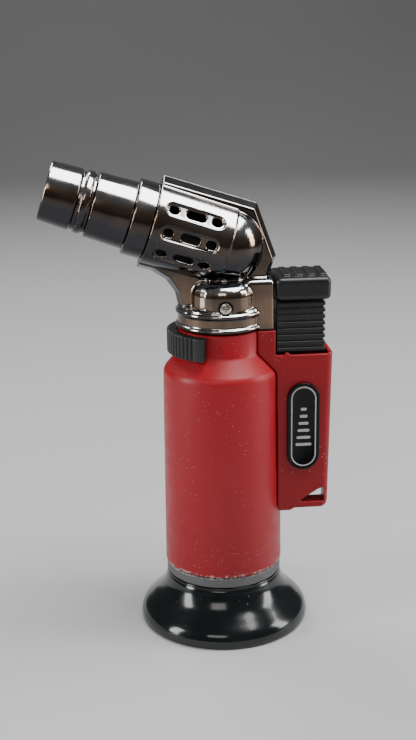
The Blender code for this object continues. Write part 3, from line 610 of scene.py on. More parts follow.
# %% Blacks
def make_black_gloss():
    finish = Finish("polished_black", Specular_IOR_Level=0.5, Coat_Weight=0.2, Coat_Roughness=0.05)
    smear = finish.noise(85.0, 6.0, 0.6)
    tint = finish.mix(smear, (0.003, 0.004, 0.0045), (0.006, 0.009, 0.0095))
    finish.colour(speck_mask(finish, 700.0, 0.10), tint, (0.30, 0.30, 0.29))
    finish.roughness(finish.spread(smear, 0.35, 0.70, 0.10, 0.24))
    finish.bump(finish.noise(120.0, 2.0), 0.06, 0.5)
    return finish.material


def make_black_matte():
    finish = Finish("spark_black", Specular_IOR_Level=0.5)
    tone = finish.mix(finish.noise(260.0), (0.004, 0.0045, 0.005), (0.009, 0.010, 0.0105))
    finish.colour(finish.edges(0.51, 0.62), tone, (0.06, 0.065, 0.067))
    finish.sheen(700.0, 6.0, 0.27, 0.42)
    finish.bump(finish.noise(4200.0, 4.0), 0.02, 0.25)
    return finish.material


def make_grey_ring():
    finish = Finish("matte_grey", Specular_IOR_Level=0.4)
    tone = finish.mix(finish.noise(330.0), (0.085, 0.086, 0.090), (0.135, 0.135, 0.138))
    edge = finish.spread(finish.axis("Z"), 17.8 * MM, 18.4 * MM)
    side = finish.spread(finish.axis("X"), 6.0 * MM, -8.0 * MM, 0.35, 1.0)
    spots = finish.spread(finish.noise(1150.0, 4.0, 0.6), 0.50, 0.54)
    chips = finish.calc("MULTIPLY", finish.calc("MULTIPLY", edge, side), spots)
    finish.colour(chips, tone, (0.62, 0.50, 0.47))
    finish.sheen(600.0, 5.0, 0.50, 0.66)
    finish.bump(finish.noise(2600.0, 4.0), 0.04, 0.30)
    return finish.material


BLACK_GLOSS = make_black_gloss()
BLACK_MATTE = make_black_matte()
GREY_RING = make_grey_ring()
print("made", BLACK_GLOSS.name, BLACK_MATTE.name, GREY_RING.name)

# %% [markdown]
# ## Metals
# Head and nozzle are zinc and steel under a gun-metal plating. Its colour holds painted light: a
# painted light-grey highlight where it faces up, a painted brown reflection on its flanks and
# painted shade, almost black, below. The plating has cloudy smears, a faint slow wave and short
# fine scratches.

# %% Dark chrome, steel and brass
def make_dark_chrome(name, bore):
    """Gun-metal plating; nearer to the barrel's axis than the bore the metal is raw and sooty."""
    finish = Finish(name, Metallic=1.0)
    # Painted light: the colour follows the way the surface faces, with a painted light-grey highlight
    # where it faces up and a painted brown reflection on the flanks.
    up = finish.facing("Z")
    wander = finish.spread(finish.noise(60.0, 3.0), 0.3, 0.7, -0.15, 0.15)
    lift = finish.calc("ADD", up, wander)
    painted_brown_band = finish.mix(finish.spread(lift, -0.05, 0.22), (0.085, 0.070, 0.062), (0.31, 0.21, 0.145))
    with_painted_top_highlight = finish.mix(finish.spread(lift, 0.25, 0.55), painted_brown_band, (0.62, 0.62, 0.62))
    # Painted shade: almost black where the surface faces down.
    lower = finish.mix(finish.spread(lift, -0.32, -0.06), (0.045, 0.045, 0.05), with_painted_top_highlight)
    # Outward edges turn light: worn plating, and a painted highlight as well.
    worn_edges_and_glint = finish.mix(finish.edges(0.62, 0.78), lower, (0.80, 0.79, 0.75))
    raw = finish.spread(finish.from_axis(), (bore + 0.15) * MM, bore * MM)
    finish.colour(raw, worn_edges_and_glint, (0.02, 0.019, 0.018))
    smear = finish.spread(finish.noise(130.0, 6.0, 0.62), 0.35, 0.70, 0.07, 0.18)
    finish.roughness(finish.calc("MAXIMUM", smear, finish.calc("MULTIPLY", raw, 0.6)))
    scratches = finish.calc("MULTIPLY", finish.noise(520.0, 3.0, 0.5, (1.0, 0.10, 1.6)), 0.03)
    finish.bump(finish.calc("ADD", scratches, finish.noise(105.0, 1.0)), 0.10, 0.5)
    return finish.material


def make_metal(name, dark, light, rough, grain):
    """A bare metal with a turned grain, a change of tone and brighter edges."""
    finish = Finish(name, Metallic=1.0)
    tone = finish.mix(finish.noise(grain, 5.0), dark, light)
    finish.colour(finish.edges(), tone, tuple(min(1.0, c * 1.3) for c in light))
    finish.sheen(grain * 2.2, 6.0, rough * 0.8, rough * 1.3)
    finish.bump(finish.noise(grain * 3.0, 2.0, 0.5, (1.0, 1.0, 0.15)), 0.02, 0.2)
    return finish.material


DARK_CHROME = make_dark_chrome("gunmetal_plate", 10.3)
NOZZLE_CHROME = make_dark_chrome("gunmetal_nozzle", 7.9)
STEEL = make_metal("bright_steel", (0.42, 0.41, 0.40), (0.60, 0.59, 0.57), 0.30, 700.0)
SCREW_STEEL = make_metal("screw_steel", (0.42, 0.38, 0.32), (0.66, 0.60, 0.52), 0.26, 500.0)
BRASS = make_metal("turned_brass", (0.50, 0.35, 0.13), (0.72, 0.52, 0.22), 0.28, 600.0)
print("made", DARK_CHROME.name, STEEL.name, SCREW_STEEL.name, BRASS.name)

# %% [markdown]
# ## What is inside
# Rubber seals, a white ceramic tube, the milky fuel tank and the red cover of the spark lead. The
# badge's black face and its printed lines are here too, and the sooty steel near the flame.

# %% Rubber, ceramic, milky plastic, lead cover and badge
def make_plain(name, dark, light, rough, grain, **settings):
    """A non-metal with a slow change of tone, a broken sheen and a fine grain."""
    finish = Finish(name, **settings)
    finish.colour(finish.noise(grain, 5.0), dark, light)
    finish.sheen(grain * 1.8, 6.0, rough * 0.85, rough * 1.2)
    finish.bump(finish.noise(grain * 5.0, 3.0), 0.03, 0.25)
    return finish.material


RUBBER = make_plain("soft_rubber", (0.010, 0.010, 0.011), (0.030, 0.030, 0.031), 0.72, 420.0)
CERAMIC = make_plain("glazed_ceramic", (0.62, 0.59, 0.52), (0.80, 0.78, 0.73), 0.35, 500.0)
CLEAR = make_plain("milky_plastic", (0.55, 0.58, 0.58), (0.72, 0.75, 0.74), 0.25, 120.0)
LEAD = make_plain("lead_cover", (0.34, 0.02, 0.02), (0.48, 0.04, 0.035), 0.42, 800.0)
BADGE_BLACK = make_plain("badge_black", (0.0015, 0.0016, 0.0018), (0.004, 0.004, 0.0045), 0.24, 300.0,
                         Specular_IOR_Level=0.22)
BADGE_LINE = make_plain("badge_line", (0.33, 0.33, 0.32), (0.52, 0.51, 0.49), 0.38, 600.0)
SOOTY = make_plain("sooty_steel", (0.012, 0.011, 0.010), (0.05, 0.042, 0.034), 0.6, 700.0)
print("made", [m.name for m in (RUBBER, CERAMIC, CLEAR, LEAD, BADGE_BLACK, BADGE_LINE, SOOTY)])

# %% [markdown]
# ## The foot
# A flared stand, moulded in polished black plastic and pushed onto the tank's base. Its side is a
# smooth hollow curve down to a rolled rim, with a fine bead below the top edge. A round rubber
# plate with three grooves keeps it from sliding.

# %% Foot and base plate
def make_foot():
    flare = flowing([(16.75, 13.9), (17.5, 11.6), (19.0, 9.2), (21.3, 6.8), (23.7, 4.3), (24.5, 2.6)])
    top = [(16.15, 15.2), (16.45, 15.14), (16.6, 14.95), (16.6, 14.75), (16.45, 14.6), (16.45, 14.4),
           (16.62, 14.2)]
    rim = [(24.6, 1.9), (24.6, 0.8), (24.45, 0.35), (24.1, 0.08), (23.7, 0.0)]
    under = [(22.5, 0.0), (22.3, 0.2), (22.3, 2.4), (18.8, 6.0), (15.8, 6.6), (0.0, 6.6)]
    socket = [(0.0, 8.4), (13.9, 8.4), (14.1, 8.6), (14.1, 14.9), (14.4, 15.2)]
    foot = turned("foot", socket + top + flare + rim + under, False, 192)
    return finished(foot, BLACK_GLOSS, "foot_stand", ("foot_shell",), 50.0)


def make_base_plate():
    grooves = []
    for radius in (20.0, 16.0, 12.0):
        grooves += [(radius, 0.0), (radius - 0.3, 0.4), (radius - 0.9, 0.4), (radius - 1.2, 0.0)]
    edge = [(0.0, 2.0), (21.7, 2.0), (22.0, 1.7), (22.0, 0.3), (21.7, 0.0)]
    plate = turned("base_plate", edge + grooves + [(0.0, 0.0)], False)
    return finished(plate, RUBBER, "foot_stand", ("foot_base_plate",), 30.0)


make_foot()
make_base_plate()

# %% [markdown]
# ## The tank
# The tank is a drawn tube with a round shoulder and a short neck. Its back is cut away for the
# trigger bay, and the neck has a slot that the adjuster's web turns in.

# %% Tank and base ring
def tank_side():
    """The outer side from the neck's top down to the bottom edge."""
    shoulder = arc(13.3, 75.4, 3.2, 50, 0, 12)
    return [(11.9, 88.6), (12.1, 88.4), (12.1, 82.2), (12.25, 81.85), (12.6, 81.45)] + shoulder + [
        (16.6, 68.0), (16.99, 19.0), (16.8, 18.7)]


def adjuster_slot():
    return slab("adjuster_slot", arc(0.0, 0.0, 14.0, 122, 238, 24) + [(2.0, 0.0)], 83.7, 86.3)


def lead_hole():
    return disc("lead_hole", 1.1, -4.5, 4.5, 24, laid(17.0, 3.0, 74.0, "Y"))


def make_tank():
    inside = [(16.0, 18.7), (15.8, 18.9), (15.3, 75.4), (14.6, 77.4), (10.9, 81.2), (10.9, 88.4),
              (11.1, 88.6)]
    tank = turned("tank", tank_side() + inside, True, 192)
    notch = block("notch", (14.3, -7.5, 75.6), (20.0, 7.5, 90.0))
    tank = boolean(tank, [notch, adjuster_slot(), lead_hole()], "DIFFERENCE")
    return finished(tank, RED_PAINT, "torch", ("tank_shell",), 35.0)


def make_base_ring():
    outline = softened([(16.7, 18.4), (16.7, 15.5), (14.1, 15.5), (14.1, 18.4)], 0.25)
    ring = turned("grey_ring", outline, True, 192)
    return finished(ring, GREY_RING, "torch", ("base_ring",), 50.0)


make_tank()
make_base_ring()

# %% [markdown]
# ## The flame adjuster
# A fluted band that the thumb slides round the neck. The band is moulded with 19 ribs between two
# plain ends. Here the ribs are one stamp turned round the axis, then everything is melted together.

# %% Flame adjuster
ADJUSTER_FLUTES = 19
ADJUSTER_HALF_ANGLE = 66.0
ADJUSTER_PLAIN = 13.0


def arc_band(name, inner, outer, half, bottom, top):
    first, last = 180 - half, 180 + half
    outline = arc(0.0, 0.0, outer, first, last, 64) + arc(0.0, 0.0, inner, last, first, 64)
    return slab(name, outline, bottom, top)


def make_adjuster():
    low, high = (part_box("flame_adjuster")[i][2] / MM for i in (0, 1))
    step = (2 * ADJUSTER_HALF_ANGLE - 2 * ADJUSTER_PLAIN) / ADJUSTER_FLUTES
    first = 180 - ADJUSTER_HALF_ANGLE + ADJUSTER_PLAIN + 0.5 * step
    band = arc_band("flame_adjuster_band", 12.4, 14.85, ADJUSTER_HALF_ANGLE, low, high)
    rib = turned("rib", [(0.0, high), (0.62, high), (0.62, low), (0.0, low)], False, 20,
                 at(14.68))
    ribs = grown("ribs", RING, BLACK_MATTE, Stamp=rib, Count=ADJUSTER_FLUTES,
                 First_Angle=math.radians(first), Angle_Step=math.radians(step))
    web = slab("web", arc(0, 0, 13.2, 162, 198, 12) + arc(0, 0, 5.4, 208, 152, 12), 84.1, 85.9)
    hub = turned("hub", [(6.8, 86.1), (6.8, 83.9), (4.7, 83.9), (4.7, 86.1)], True, 64)
    ends = []
    for side in (-1, 1):
        outer = 180 + side * ADJUSTER_HALF_ANGLE
        inner = 180 + side * (ADJUSTER_HALF_ANGLE - ADJUSTER_PLAIN + 1.0)
        outline = arc(0.0, 0.0, 15.27, outer, inner, 12) + arc(0.0, 0.0, 13.5, inner, outer, 12)
        ends.append(slab("plain_end", outline, low, high))
    band = boolean(band, [ribs, web, hub, *ends], "UNION")
    band = moulded(band, voxel=0.13, smoothing=4)
    return finished(band, BLACK_MATTE, "flame_adjuster", ("flame_adjuster",))


make_adjuster()

# %% [markdown]
# ## The cast head
# Two mirrored zinc castings, bolted together on an upright parting plane. Each is a barrel that
# rises to the front, a round dome behind it, a flange that stands proud along the parting line, a
# beaded collar, a pill-shaped bulge round the screw and a shelf in front of the trigger. Both are
# hollow. The whole outside is joined first, then cut, then split.

# %% Outside of the head
BARREL_REAR_RADIUS = 11.25
BARREL_LENGTH = 21.6
BARREL = Matrix.Translation(BARREL_POINT * MM) @ Matrix.Rotation(-(math.pi / 2 - BARREL_PITCH), 4, "Y")


def along_barrel(distance, up=0.0):
    """A point (x, z) in the middle plane, measured from the dome's centre."""
    return (BARREL_POINT.x - math.cos(BARREL_PITCH) * distance + math.sin(BARREL_PITCH) * up,
            BARREL_POINT.z + math.sin(BARREL_PITCH) * distance + math.cos(BARREL_PITCH) * up)


def inset_outline(outline, inset):
    """The outline moved inwards by the same amount everywhere."""
    area = sum(a[0] * b[1] - b[0] * a[1] for a, b in zip(outline, outline[1:] + outline[:1]))
    turn = 1.0 if area > 0 else -1.0
    result = []
    for i, point in enumerate(outline):
        corner = Vector(point)
        before = (corner - Vector(outline[i - 1])).normalized()
        after = (Vector(outline[(i + 1) % len(outline)]) - corner).normalized()
        normal = (Vector((-before.y, before.x)) + Vector((-after.y, after.x))).normalized() * turn
        share = abs(normal.dot(Vector((-before.y, before.x))))
        moved = corner + normal * inset / max(0.4, share)
        result.append((moved.x, moved.y))
    return result


def make_flange():
    """The plate on the parting plane: its rim slopes both ways from a low ridge."""
    outline = [along_barrel(24.6, 13.2), (10.3, 122.9), (15.6, 108.1), (14.3, 105.1), (13.5, 101.0),
               (13.5, 84.0), (-9.0, 84.0), (-11.9, 94.7), (-12.8, 98.9), (-15.2, 102.4), (-19.2, 105.1),
               along_barrel(24.6, -13.0)]
    half = 3.9
    rings = []
    for y, inset in ((half, 1.5), (0.35, 0.0), (-0.35, 0.0), (-half, 1.5)):
        rings.append([(x, y, z) for x, z in inset_outline(outline, inset)])
    return loft("flange", rings)


def make_bulge():
    """The pill-shaped boss round the screw, rounded over at its top."""
    top = 102.4
    rounding = 3.6
    rings = [[(y + 0.5, x, 94.95) for x, y in racetrack(24.2, 18.2)]]
    for x, z in arc(0.0, 0.0, rounding, 0, 90, 9):
        inset = rounding - x
        rings.append([(b + 0.5, a, top - rounding + z)
                      for a, b in racetrack(24.2 - 2 * inset, 18.2 - 2 * inset)])
    return loft("bulge", rings)


def make_collar():
    profile = [(0.0, 95.3), (11.6, 95.3), (12.1, 94.9)]
    for height in (93.7, 89.7):
        profile += [(12.1 + x, height + z) for x, z in arc(0.0, 0.0, 0.65, 90, -90, 8)]
    return turned("collar", profile + [(12.1, 86.0), (0.0, 86.0)], False, 128)


def make_head_outside():
    barrel = turned("head", [
        (0.0, 23.6), (11.7, 23.6), (11.7, BARREL_LENGTH), (BARREL_REAR_RADIUS, -0.1), (0.0, -0.1)],
        False, 128, BARREL)
    dome = turned("dome", [(10.9 * x, 10.9 * z) for x, z in arc(0.0, 0.0, 1.0, 90, -90, 36)],
                  False, 128, BARREL)
    shelf = block("shelf", (6.0, -8.0, 85.0), (14.1, 8.0, 102.9), 1.1)
    return boolean(barrel, [dome, make_flange(), make_collar(), make_bulge(), shelf], "UNION")


# %% [markdown]
# Nine air slots stand on each side in three rows, and each row lies in a shallow recess. The inside
# is bored through for the burner, and opened below for the valve, the lever and the screw.

# %% Inside of the head, and its two halves
SLOT_ROWS = 3
SLOT_ROW_STEP = 34.0
SLOT_WIDTH = 2.4
SLOTS = ((17.1, 2.8), (10.9, 5.6), (5.1, 3.0))
RECESS = (16.4, 3.8, 0.35)


def standing_slot(name, distance, length, width, inner, outer):
    """A pill-shaped cutter on the barrel's side at angle zero, its long side along the barrel."""
    return loft(name, [[(radius, b, distance + a) for a, b in racetrack(length, width, 10)]
                       for radius in (inner, outer)])


def slot_cutters():
    tools = []
    length, width, depth = RECESS
    middle = (SLOTS[0][0] + SLOTS[-1][0]) / 2
    for side in (-90.0, 90.0):
        stamps = [standing_slot("slot", distance, size, SLOT_WIDTH, 8.0, 14.0)
                  for distance, size in SLOTS]
        stamps.append(standing_slot("recess", middle, length, width, BARREL_REAR_RADIUS - depth, 15.0))
        for stamp in stamps:
            cutter = grown("slots", RING, DARK_CHROME, Stamp=stamp, Count=SLOT_ROWS,
                           First_Angle=math.radians(side - SLOT_ROW_STEP),
                           Angle_Step=math.radians(SLOT_ROW_STEP))
            cutter.data.transform(BARREL)
            tools.append(cutter)
    return tools


def inner_cutters():
    bore = [(0.0, 26.6), (10.0, 26.6), (10.0, 0.0)] + [
        (9.6 * x, 9.6 * z) for x, z in arc(0.0, 0.0, 1.0, -10, -90, 14)]
    return [
        disc("front_end", 40.0, BARREL_LENGTH, 50.0, 48, BARREL),
        turned("bore", bore, False, 96, BARREL),
        block("underside", (-40.0, -40.0, 70.0), (40.0, 40.0, 88.9)),
        block("tower_bore", (-6.9, -3.2, 80.0), (7.4, 3.2, 105.0)),
        disc("valve_well", 5.0, 80.0, 90.0),
        block("lever_slot", (5.0, -1.6, 80.0), (20.0, 1.6, 93.1)),
        disc("pin_hole", 0.8, -5.2, 5.2, 24, laid(9.6, 0.0, 90.9, "X")),
    ]


SCREW = laid(0.2, -12.1, 96.2, "X")
HALF_GAP = 0.12


def make_head_half(whole, side):
    """Side -1 faces -Y and holds the screw head; side 1 is its mirror with a blind hole."""
    word = "near" if side < 0 else "far"
    half = twin(whole, "head_" + word)
    edges = (-HALF_GAP, 60.0) if side < 0 else (-60.0, HALF_GAP)
    other = block("other_half", (-60.0, edges[0], 60.0), (60.0, edges[1], 160.0))
    if side < 0:
        hole = turned("hole", [
            (0.0, 5.0), (1.9, 5.0), (1.9, -1.2), (1.2, -1.5), (1.2, -10.0), (0.0, -10.0)],
            False, 48, SCREW)
    else:
        hole = disc("hole", 1.2, -22.2, -15.0, 32, SCREW)
    half = boolean(half, [other, hole], "DIFFERENCE")
    half = moulded(half, voxel=0.23, smoothing=4)
    return finished(half, DARK_CHROME, "torch", ("burner_head_" + word,))


def make_head():
    whole = boolean(make_head_outside(), inner_cutters() + slot_cutters(), "DIFFERENCE")
    for side in (-1, 1):
        make_head_half(whole, side)
    discard(whole)


make_head()

# %% [markdown]
# The screw has a pan head with a cross recess, a plain neck and a rolled thread.

# %% Head screw
THREAD_START = -12.0
THREAD_PITCH = 0.5
THREAD_TURNS = 17


def make_screw():
    thread = []
    for i in range(THREAD_TURNS):
        depth = THREAD_START - i * THREAD_PITCH
        thread += [(0.9, depth), (0.74, depth - 0.5 * THREAD_PITCH)]
    profile = [(0.0, 0.3), (0.7, 0.28), (1.15, 0.2), (1.5, -0.02), (1.6, -0.25), (1.6, -0.8),
               (1.5, -0.95), (0.9, -1.2)] + thread + [(0.5, -21.2), (0.0, -21.2)]
    screw = turned("head_screw_pan", profile, False, 64)
    blades = []
    for wide, narrow in ((0.9, 0.17), (0.17, 0.9)):
        blades.append(block("blade", (-wide, -narrow, -0.6), (wide, narrow, 1.0)))
    screw = boolean(screw, blades, "DIFFERENCE")
    screw.data.transform(SCREW)
    return finished(screw, SCREW_STEEL, "torch", ("head_screw",), 30.0)


make_screw()

# %% [markdown]
# ## The nozzle
# Four plated rings, turned from bar and pushed into each other: a short collar, a long tube, a ring
# with a round bead, and the tip. Each edge has a small broken corner that catches the light.

# %% Nozzle rings
NOZZLE = {
    "nozzle_collar": [(10.55, 27.2), (10.7, 27.0), (10.7, 21.9), (9.6, 21.9), (9.6, 18.6), (8.5, 18.6),
                      (8.5, 27.2)],
    "nozzle_mid_tube": [(9.05, 38.2), (9.15, 38.0), (9.5, 27.7), (9.35, 27.5), (8.2, 27.5), (8.2, 23.6),
                        (7.4, 23.6), (7.4, 38.2)],
    "nozzle_bead_ring": [(8.25, 42.3), (8.25, 41.5), (8.65, 41.3), (8.85, 40.8), (8.85, 39.8),
                         (8.65, 39.3), (8.25, 39.1), (8.25, 38.5), (7.4, 38.5), (7.4, 42.3)],
    "nozzle_tip": [(8.1, 51.4), (8.35, 51.1), (8.4, 49.8), (8.7, 42.9), (8.55, 42.6), (7.4, 42.6),
                   (7.4, 50.4), (7.8, 51.4)],
}
for node, profile in NOZZLE.items():
    ring = turned(node + "_ring", softened(profile, 0.14), True, 160, BARREL)
    finished(ring, NOZZLE_CHROME, "torch", (node,), 60.0)

# %% [markdown]
# Inside the mouth a disc holds the flame. It has a ring of gas holes, one hole for the spark tube
# and one for the pilot flame.

# %% Flame holder
def make_flame_holder():
    profile = [(0.0, 46.0), (6.85, 46.0), (7.0, 45.85), (7.0, 44.6), (6.9, 44.5), (0.0, 44.5)]
    holder = turned("flame_disc", profile, False, 96)
    gas_hole = disc("gas_hole", 0.75, 43.0, 48.0, 24, at(4.6))
    gas_holes = grown("gas_holes", RING, STEEL, Stamp=gas_hole, Count=6,
                      First_Angle=math.radians(33.0), Angle_Step=math.radians(60.0))
    spark_hole = disc("spark_hole", 1.3, 43.0, 48.0, 32, at(2.2))
    pilot_hole = disc("pilot_hole", 0.9, 43.0, 48.0, 32, at(-1.6))
    holder = boolean(holder, [gas_holes, spark_hole, pilot_hole], "DIFFERENCE")
    holder.data.transform(BARREL)
    return finished(holder, SOOTY, "torch", ("flame_holder",), 35.0)


make_flame_holder()

# %% [markdown]
# ## The trigger housing
# A red moulding behind the tank. It wraps the tank's back and its neck, holds the spark unit in an
# open bay, and ends below in a thin loop for a lanyard. Its upright edges are round, and it leans in
# a little towards the bottom.

# %% Trigger housing
HOUSING_REAR = 30.8
HOUSING_TAPER = 1.1
HOUSING_HALF_WIDTH = 8.3
HOUSING_BOTTOM = 34.6
HOUSING_TOP = 88.6


def make_housing():
    rings = []
    for z, lean in ((HOUSING_BOTTOM, HOUSING_TAPER), (HOUSING_TOP, 0.0)):
        corners = rounded_rectangle(8.0, HOUSING_REAR, -HOUSING_HALF_WIDTH, HOUSING_HALF_WIDTH, 2.0, 10)
        rings.append([(x - lean if x > 22.0 else x, y, z) for x, y in corners])
    housing = loft("housing", rings)
    side = [(12.4, 100.0)] + [(r + 0.3, z) for r, z in tank_side()[2:-2]] + [(17.3, 18.7), (17.3, 0.0)]
    tank_room = turned("tank_room", [(0.0, 100.0)] + side + [(0.0, 0.0)], False, 128)
    lanyard = upright_slab("lanyard", [(20.8, 37.3), (28.6, 37.3), (28.6, 41.6), (27.0, 41.2)], 20.0)
    outline = [(10.0, 30.0), (40.0, 30.0), (40.0, 38.0)] + arc(27.4, 38.0, 2.4, 0, -90, 8)
    outline += [(20.0, 35.6), (18.8, 34.9), (10.0, 34.9)]
    below = upright_slab("below", outline, 20.0)
    cuts = {
        "loop_back": ((19.2, -2.9, 30.0), (40.0, 20.0, 42.2)),
        "top_step": ((14.35, -20.0, 81.5), (29.4, 20.0, 100.0)),
        "rear_top": ((28.4, -20.0, 81.8), (40.0, 20.0, 100.0)),
        "upper_bay": ((14.35, -7.2, 75.6), (29.4, 7.2, 100.0)),
        "lower_bay": ((18.8, -7.2, 44.5), (29.4, 7.2, 76.0)),
    }
    tools = [tank_room, lanyard, below, lead_hole()]
    tools += [block(name, *corners) for name, corners in cuts.items()]
    housing = boolean(housing, tools, "DIFFERENCE")
    nub = disc("nub", 0.7, -8.2, -7.3, 32, laid(17.6, 0.0, 81.5, "X", -1))
    housing = boolean(housing, [nub], "UNION")
    housing = moulded(housing, voxel=0.27, smoothing=3)
    return finished(housing, RED_PLASTIC, "torch", ("trigger_housing",))


make_housing()

# %% [markdown]
# ## The trigger
# The thumb presses a black cap with four grip blocks. Under it a square skirt with eight ribs runs
# down into the bay. The blocks and the ribs are stamps set in a row.

# %% Trigger cap and skirt
RIB_COUNT = 8
RIB_PITCH = 1.85
RIB_HEIGHT = 1.1
RIB_DEPTH = 0.5
GRIP_COUNT = 4
GRIP_PITCH = 3.4
SKIRT_TOP = 96.5
SKIRT_REAR = 28.0
SKIRT_HALF_WIDTH = 6.4


def lever_way():
    return block("lever_way", (14.0, -1.9, 88.8), (17.4, 1.9, 98.2))


def make_cap():
    cap = block("trigger_thumb_cap", (14.5, -8.2, 96.8), (29.9, 8.2, 103.2), 1.4, 6)
    grip = block("grip", (16.9, -5.6, 102.2), (18.9, 5.6, 103.8), 0.25, 2)
    grips = grown("grips", ROW, BLACK_MATTE, Stamp=grip, Count=GRIP_COUNT,
                  Step=(GRIP_PITCH * MM, 0.0, 0.0), Shrink=0.0)
    cap = boolean(cap, [grips], "UNION")
    hollow = block("hollow", (16.0, -6.6, 90.0), (28.4, 6.6, 101.6))
    cap = boolean(cap, [hollow, lever_way()], "DIFFERENCE")
    cap = moulded(cap, voxel=0.16, smoothing=3)
    return finished(cap, BLACK_MATTE, "trigger", ("trigger_cap",))


def make_skirt():
    skirt = block("trigger_ribbed_skirt", (14.9, -SKIRT_HALF_WIDTH, 81.8),
                  (SKIRT_REAR, SKIRT_HALF_WIDTH, SKIRT_TOP))
    z = SKIRT_TOP - RIB_PITCH + 0.5 * (RIB_PITCH - RIB_HEIGHT)
    out = SKIRT_HALF_WIDTH + RIB_DEPTH
    rib = block("rib", (14.91, -out, z), (SKIRT_REAR + RIB_DEPTH, out, z + RIB_HEIGHT), 0.22, 3)
    ribs = grown("ribs", ROW, BLACK_MATTE, Stamp=rib, Count=RIB_COUNT,
                 Step=(0.0, 0.0, -RIB_PITCH * MM), Shrink=0.0)
    skirt = boolean(skirt, [ribs], "UNION")
    hollow = block("hollow", (16.2, -5.1, 70.0), (26.7, 5.1, 95.0))
    skirt = boolean(skirt, [hollow, lever_way()], "DIFFERENCE")
    skirt = moulded(skirt, voxel=0.15, smoothing=2)
    return finished(skirt, BLACK_MATTE, "trigger", ("trigger_skirt",))


make_cap()
make_skirt()

# %% [markdown]
# ## The badge
# A black pill-shaped plate is glued to the housing's side. It carries no name: a raised border line
# and a plain pattern of bars, each a little shorter than the one below, printed in warm grey.

# %% Badge plate, border and bars
BADGE_CENTRE = Vector((22.2, 0.0, 60.6))
BADGE_WIDTH = 9.2
BADGE_HEIGHT = 25.7
BAR_COUNT = 6
BAR_PITCH = 2.1


def badge_ring(inset, y):
    return [(BADGE_CENTRE.x + b, y, BADGE_CENTRE.z + a)
            for a, b in racetrack(BADGE_HEIGHT - 2 * inset, BADGE_WIDTH - 2 * inset, 24)]


def make_badge():
    levels = ((0.0, -8.6), (0.0, -9.05), (0.06, -9.2), (0.2, -9.28), (0.7, -9.28), (0.8, -9.2))
    badge = loft("badge", [badge_ring(inset, y) for inset, y in levels])
    finished(badge, BADGE_BLACK, "torch", ("badge_plate",), 40.0)
    section = ((1.0, -9.18), (1.04, -9.25), (1.14, -9.29), (1.26, -9.29), (1.36, -9.25), (1.4, -9.18))
    border = loft("badge_border", [badge_ring(inset, y) for inset, y in section], closed=True)
    finished(border, BADGE_LINE, "torch", (), 40.0)
    outline = racetrack(4.6, 0.8, 8)
    bar = loft("bar", [[(x, y, z) for x, z in outline] for y in (-9.18, -9.27)])
    bars = grown("badge_bars", ROW, BADGE_LINE, Stamp=bar, Count=BAR_COUNT,
                 Step=(0.0, 0.0, BAR_PITCH * MM), Shrink=0.13)
    lift = BADGE_CENTRE - Vector((0.0, 0.0, 0.5 * (BAR_COUNT - 1) * BAR_PITCH))
    bars.data.transform(at(lift.x, 0.0, lift.z))
    finished(bars, BADGE_LINE, "torch", (), 40.0)


make_badge()

# %% [markdown]
# ## Springs
# Three compression springs close the valves and bring the trigger back. Each is wound wire.

# %% Three springs
def make_spring(node, body, turns, coil, wire, bottom, top, x):
    spring = grown(node + "_wire", COIL, STEEL, Turns=float(turns), Coil_Radius=coil * MM,
                   Wire_Radius=wire * MM, Length=(top - bottom) * MM, Foot=(x * MM, 0.0, bottom * MM))
    finished(spring, STEEL, body, (node,), 40.0)
    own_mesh(spring)


make_spring("trigger_spring", "torch",
            7, 3.0, 0.3, 71.9, 94.3, 22.4)
make_spring("outlet_valve_spring", "torch",
            4, 1.85, 0.2, 84.9, 87.7, 0.0)
make_spring("fill_valve_spring", "torch",
            5, 1.75, 0.22, 16.9, 23.6, 0.0)

# %% [markdown]
# ## The gas and spark parts inside
# These show only through the slots and the mouth, or when the torch is taken apart. They are turned
# parts, made again with round sides and broken corners.

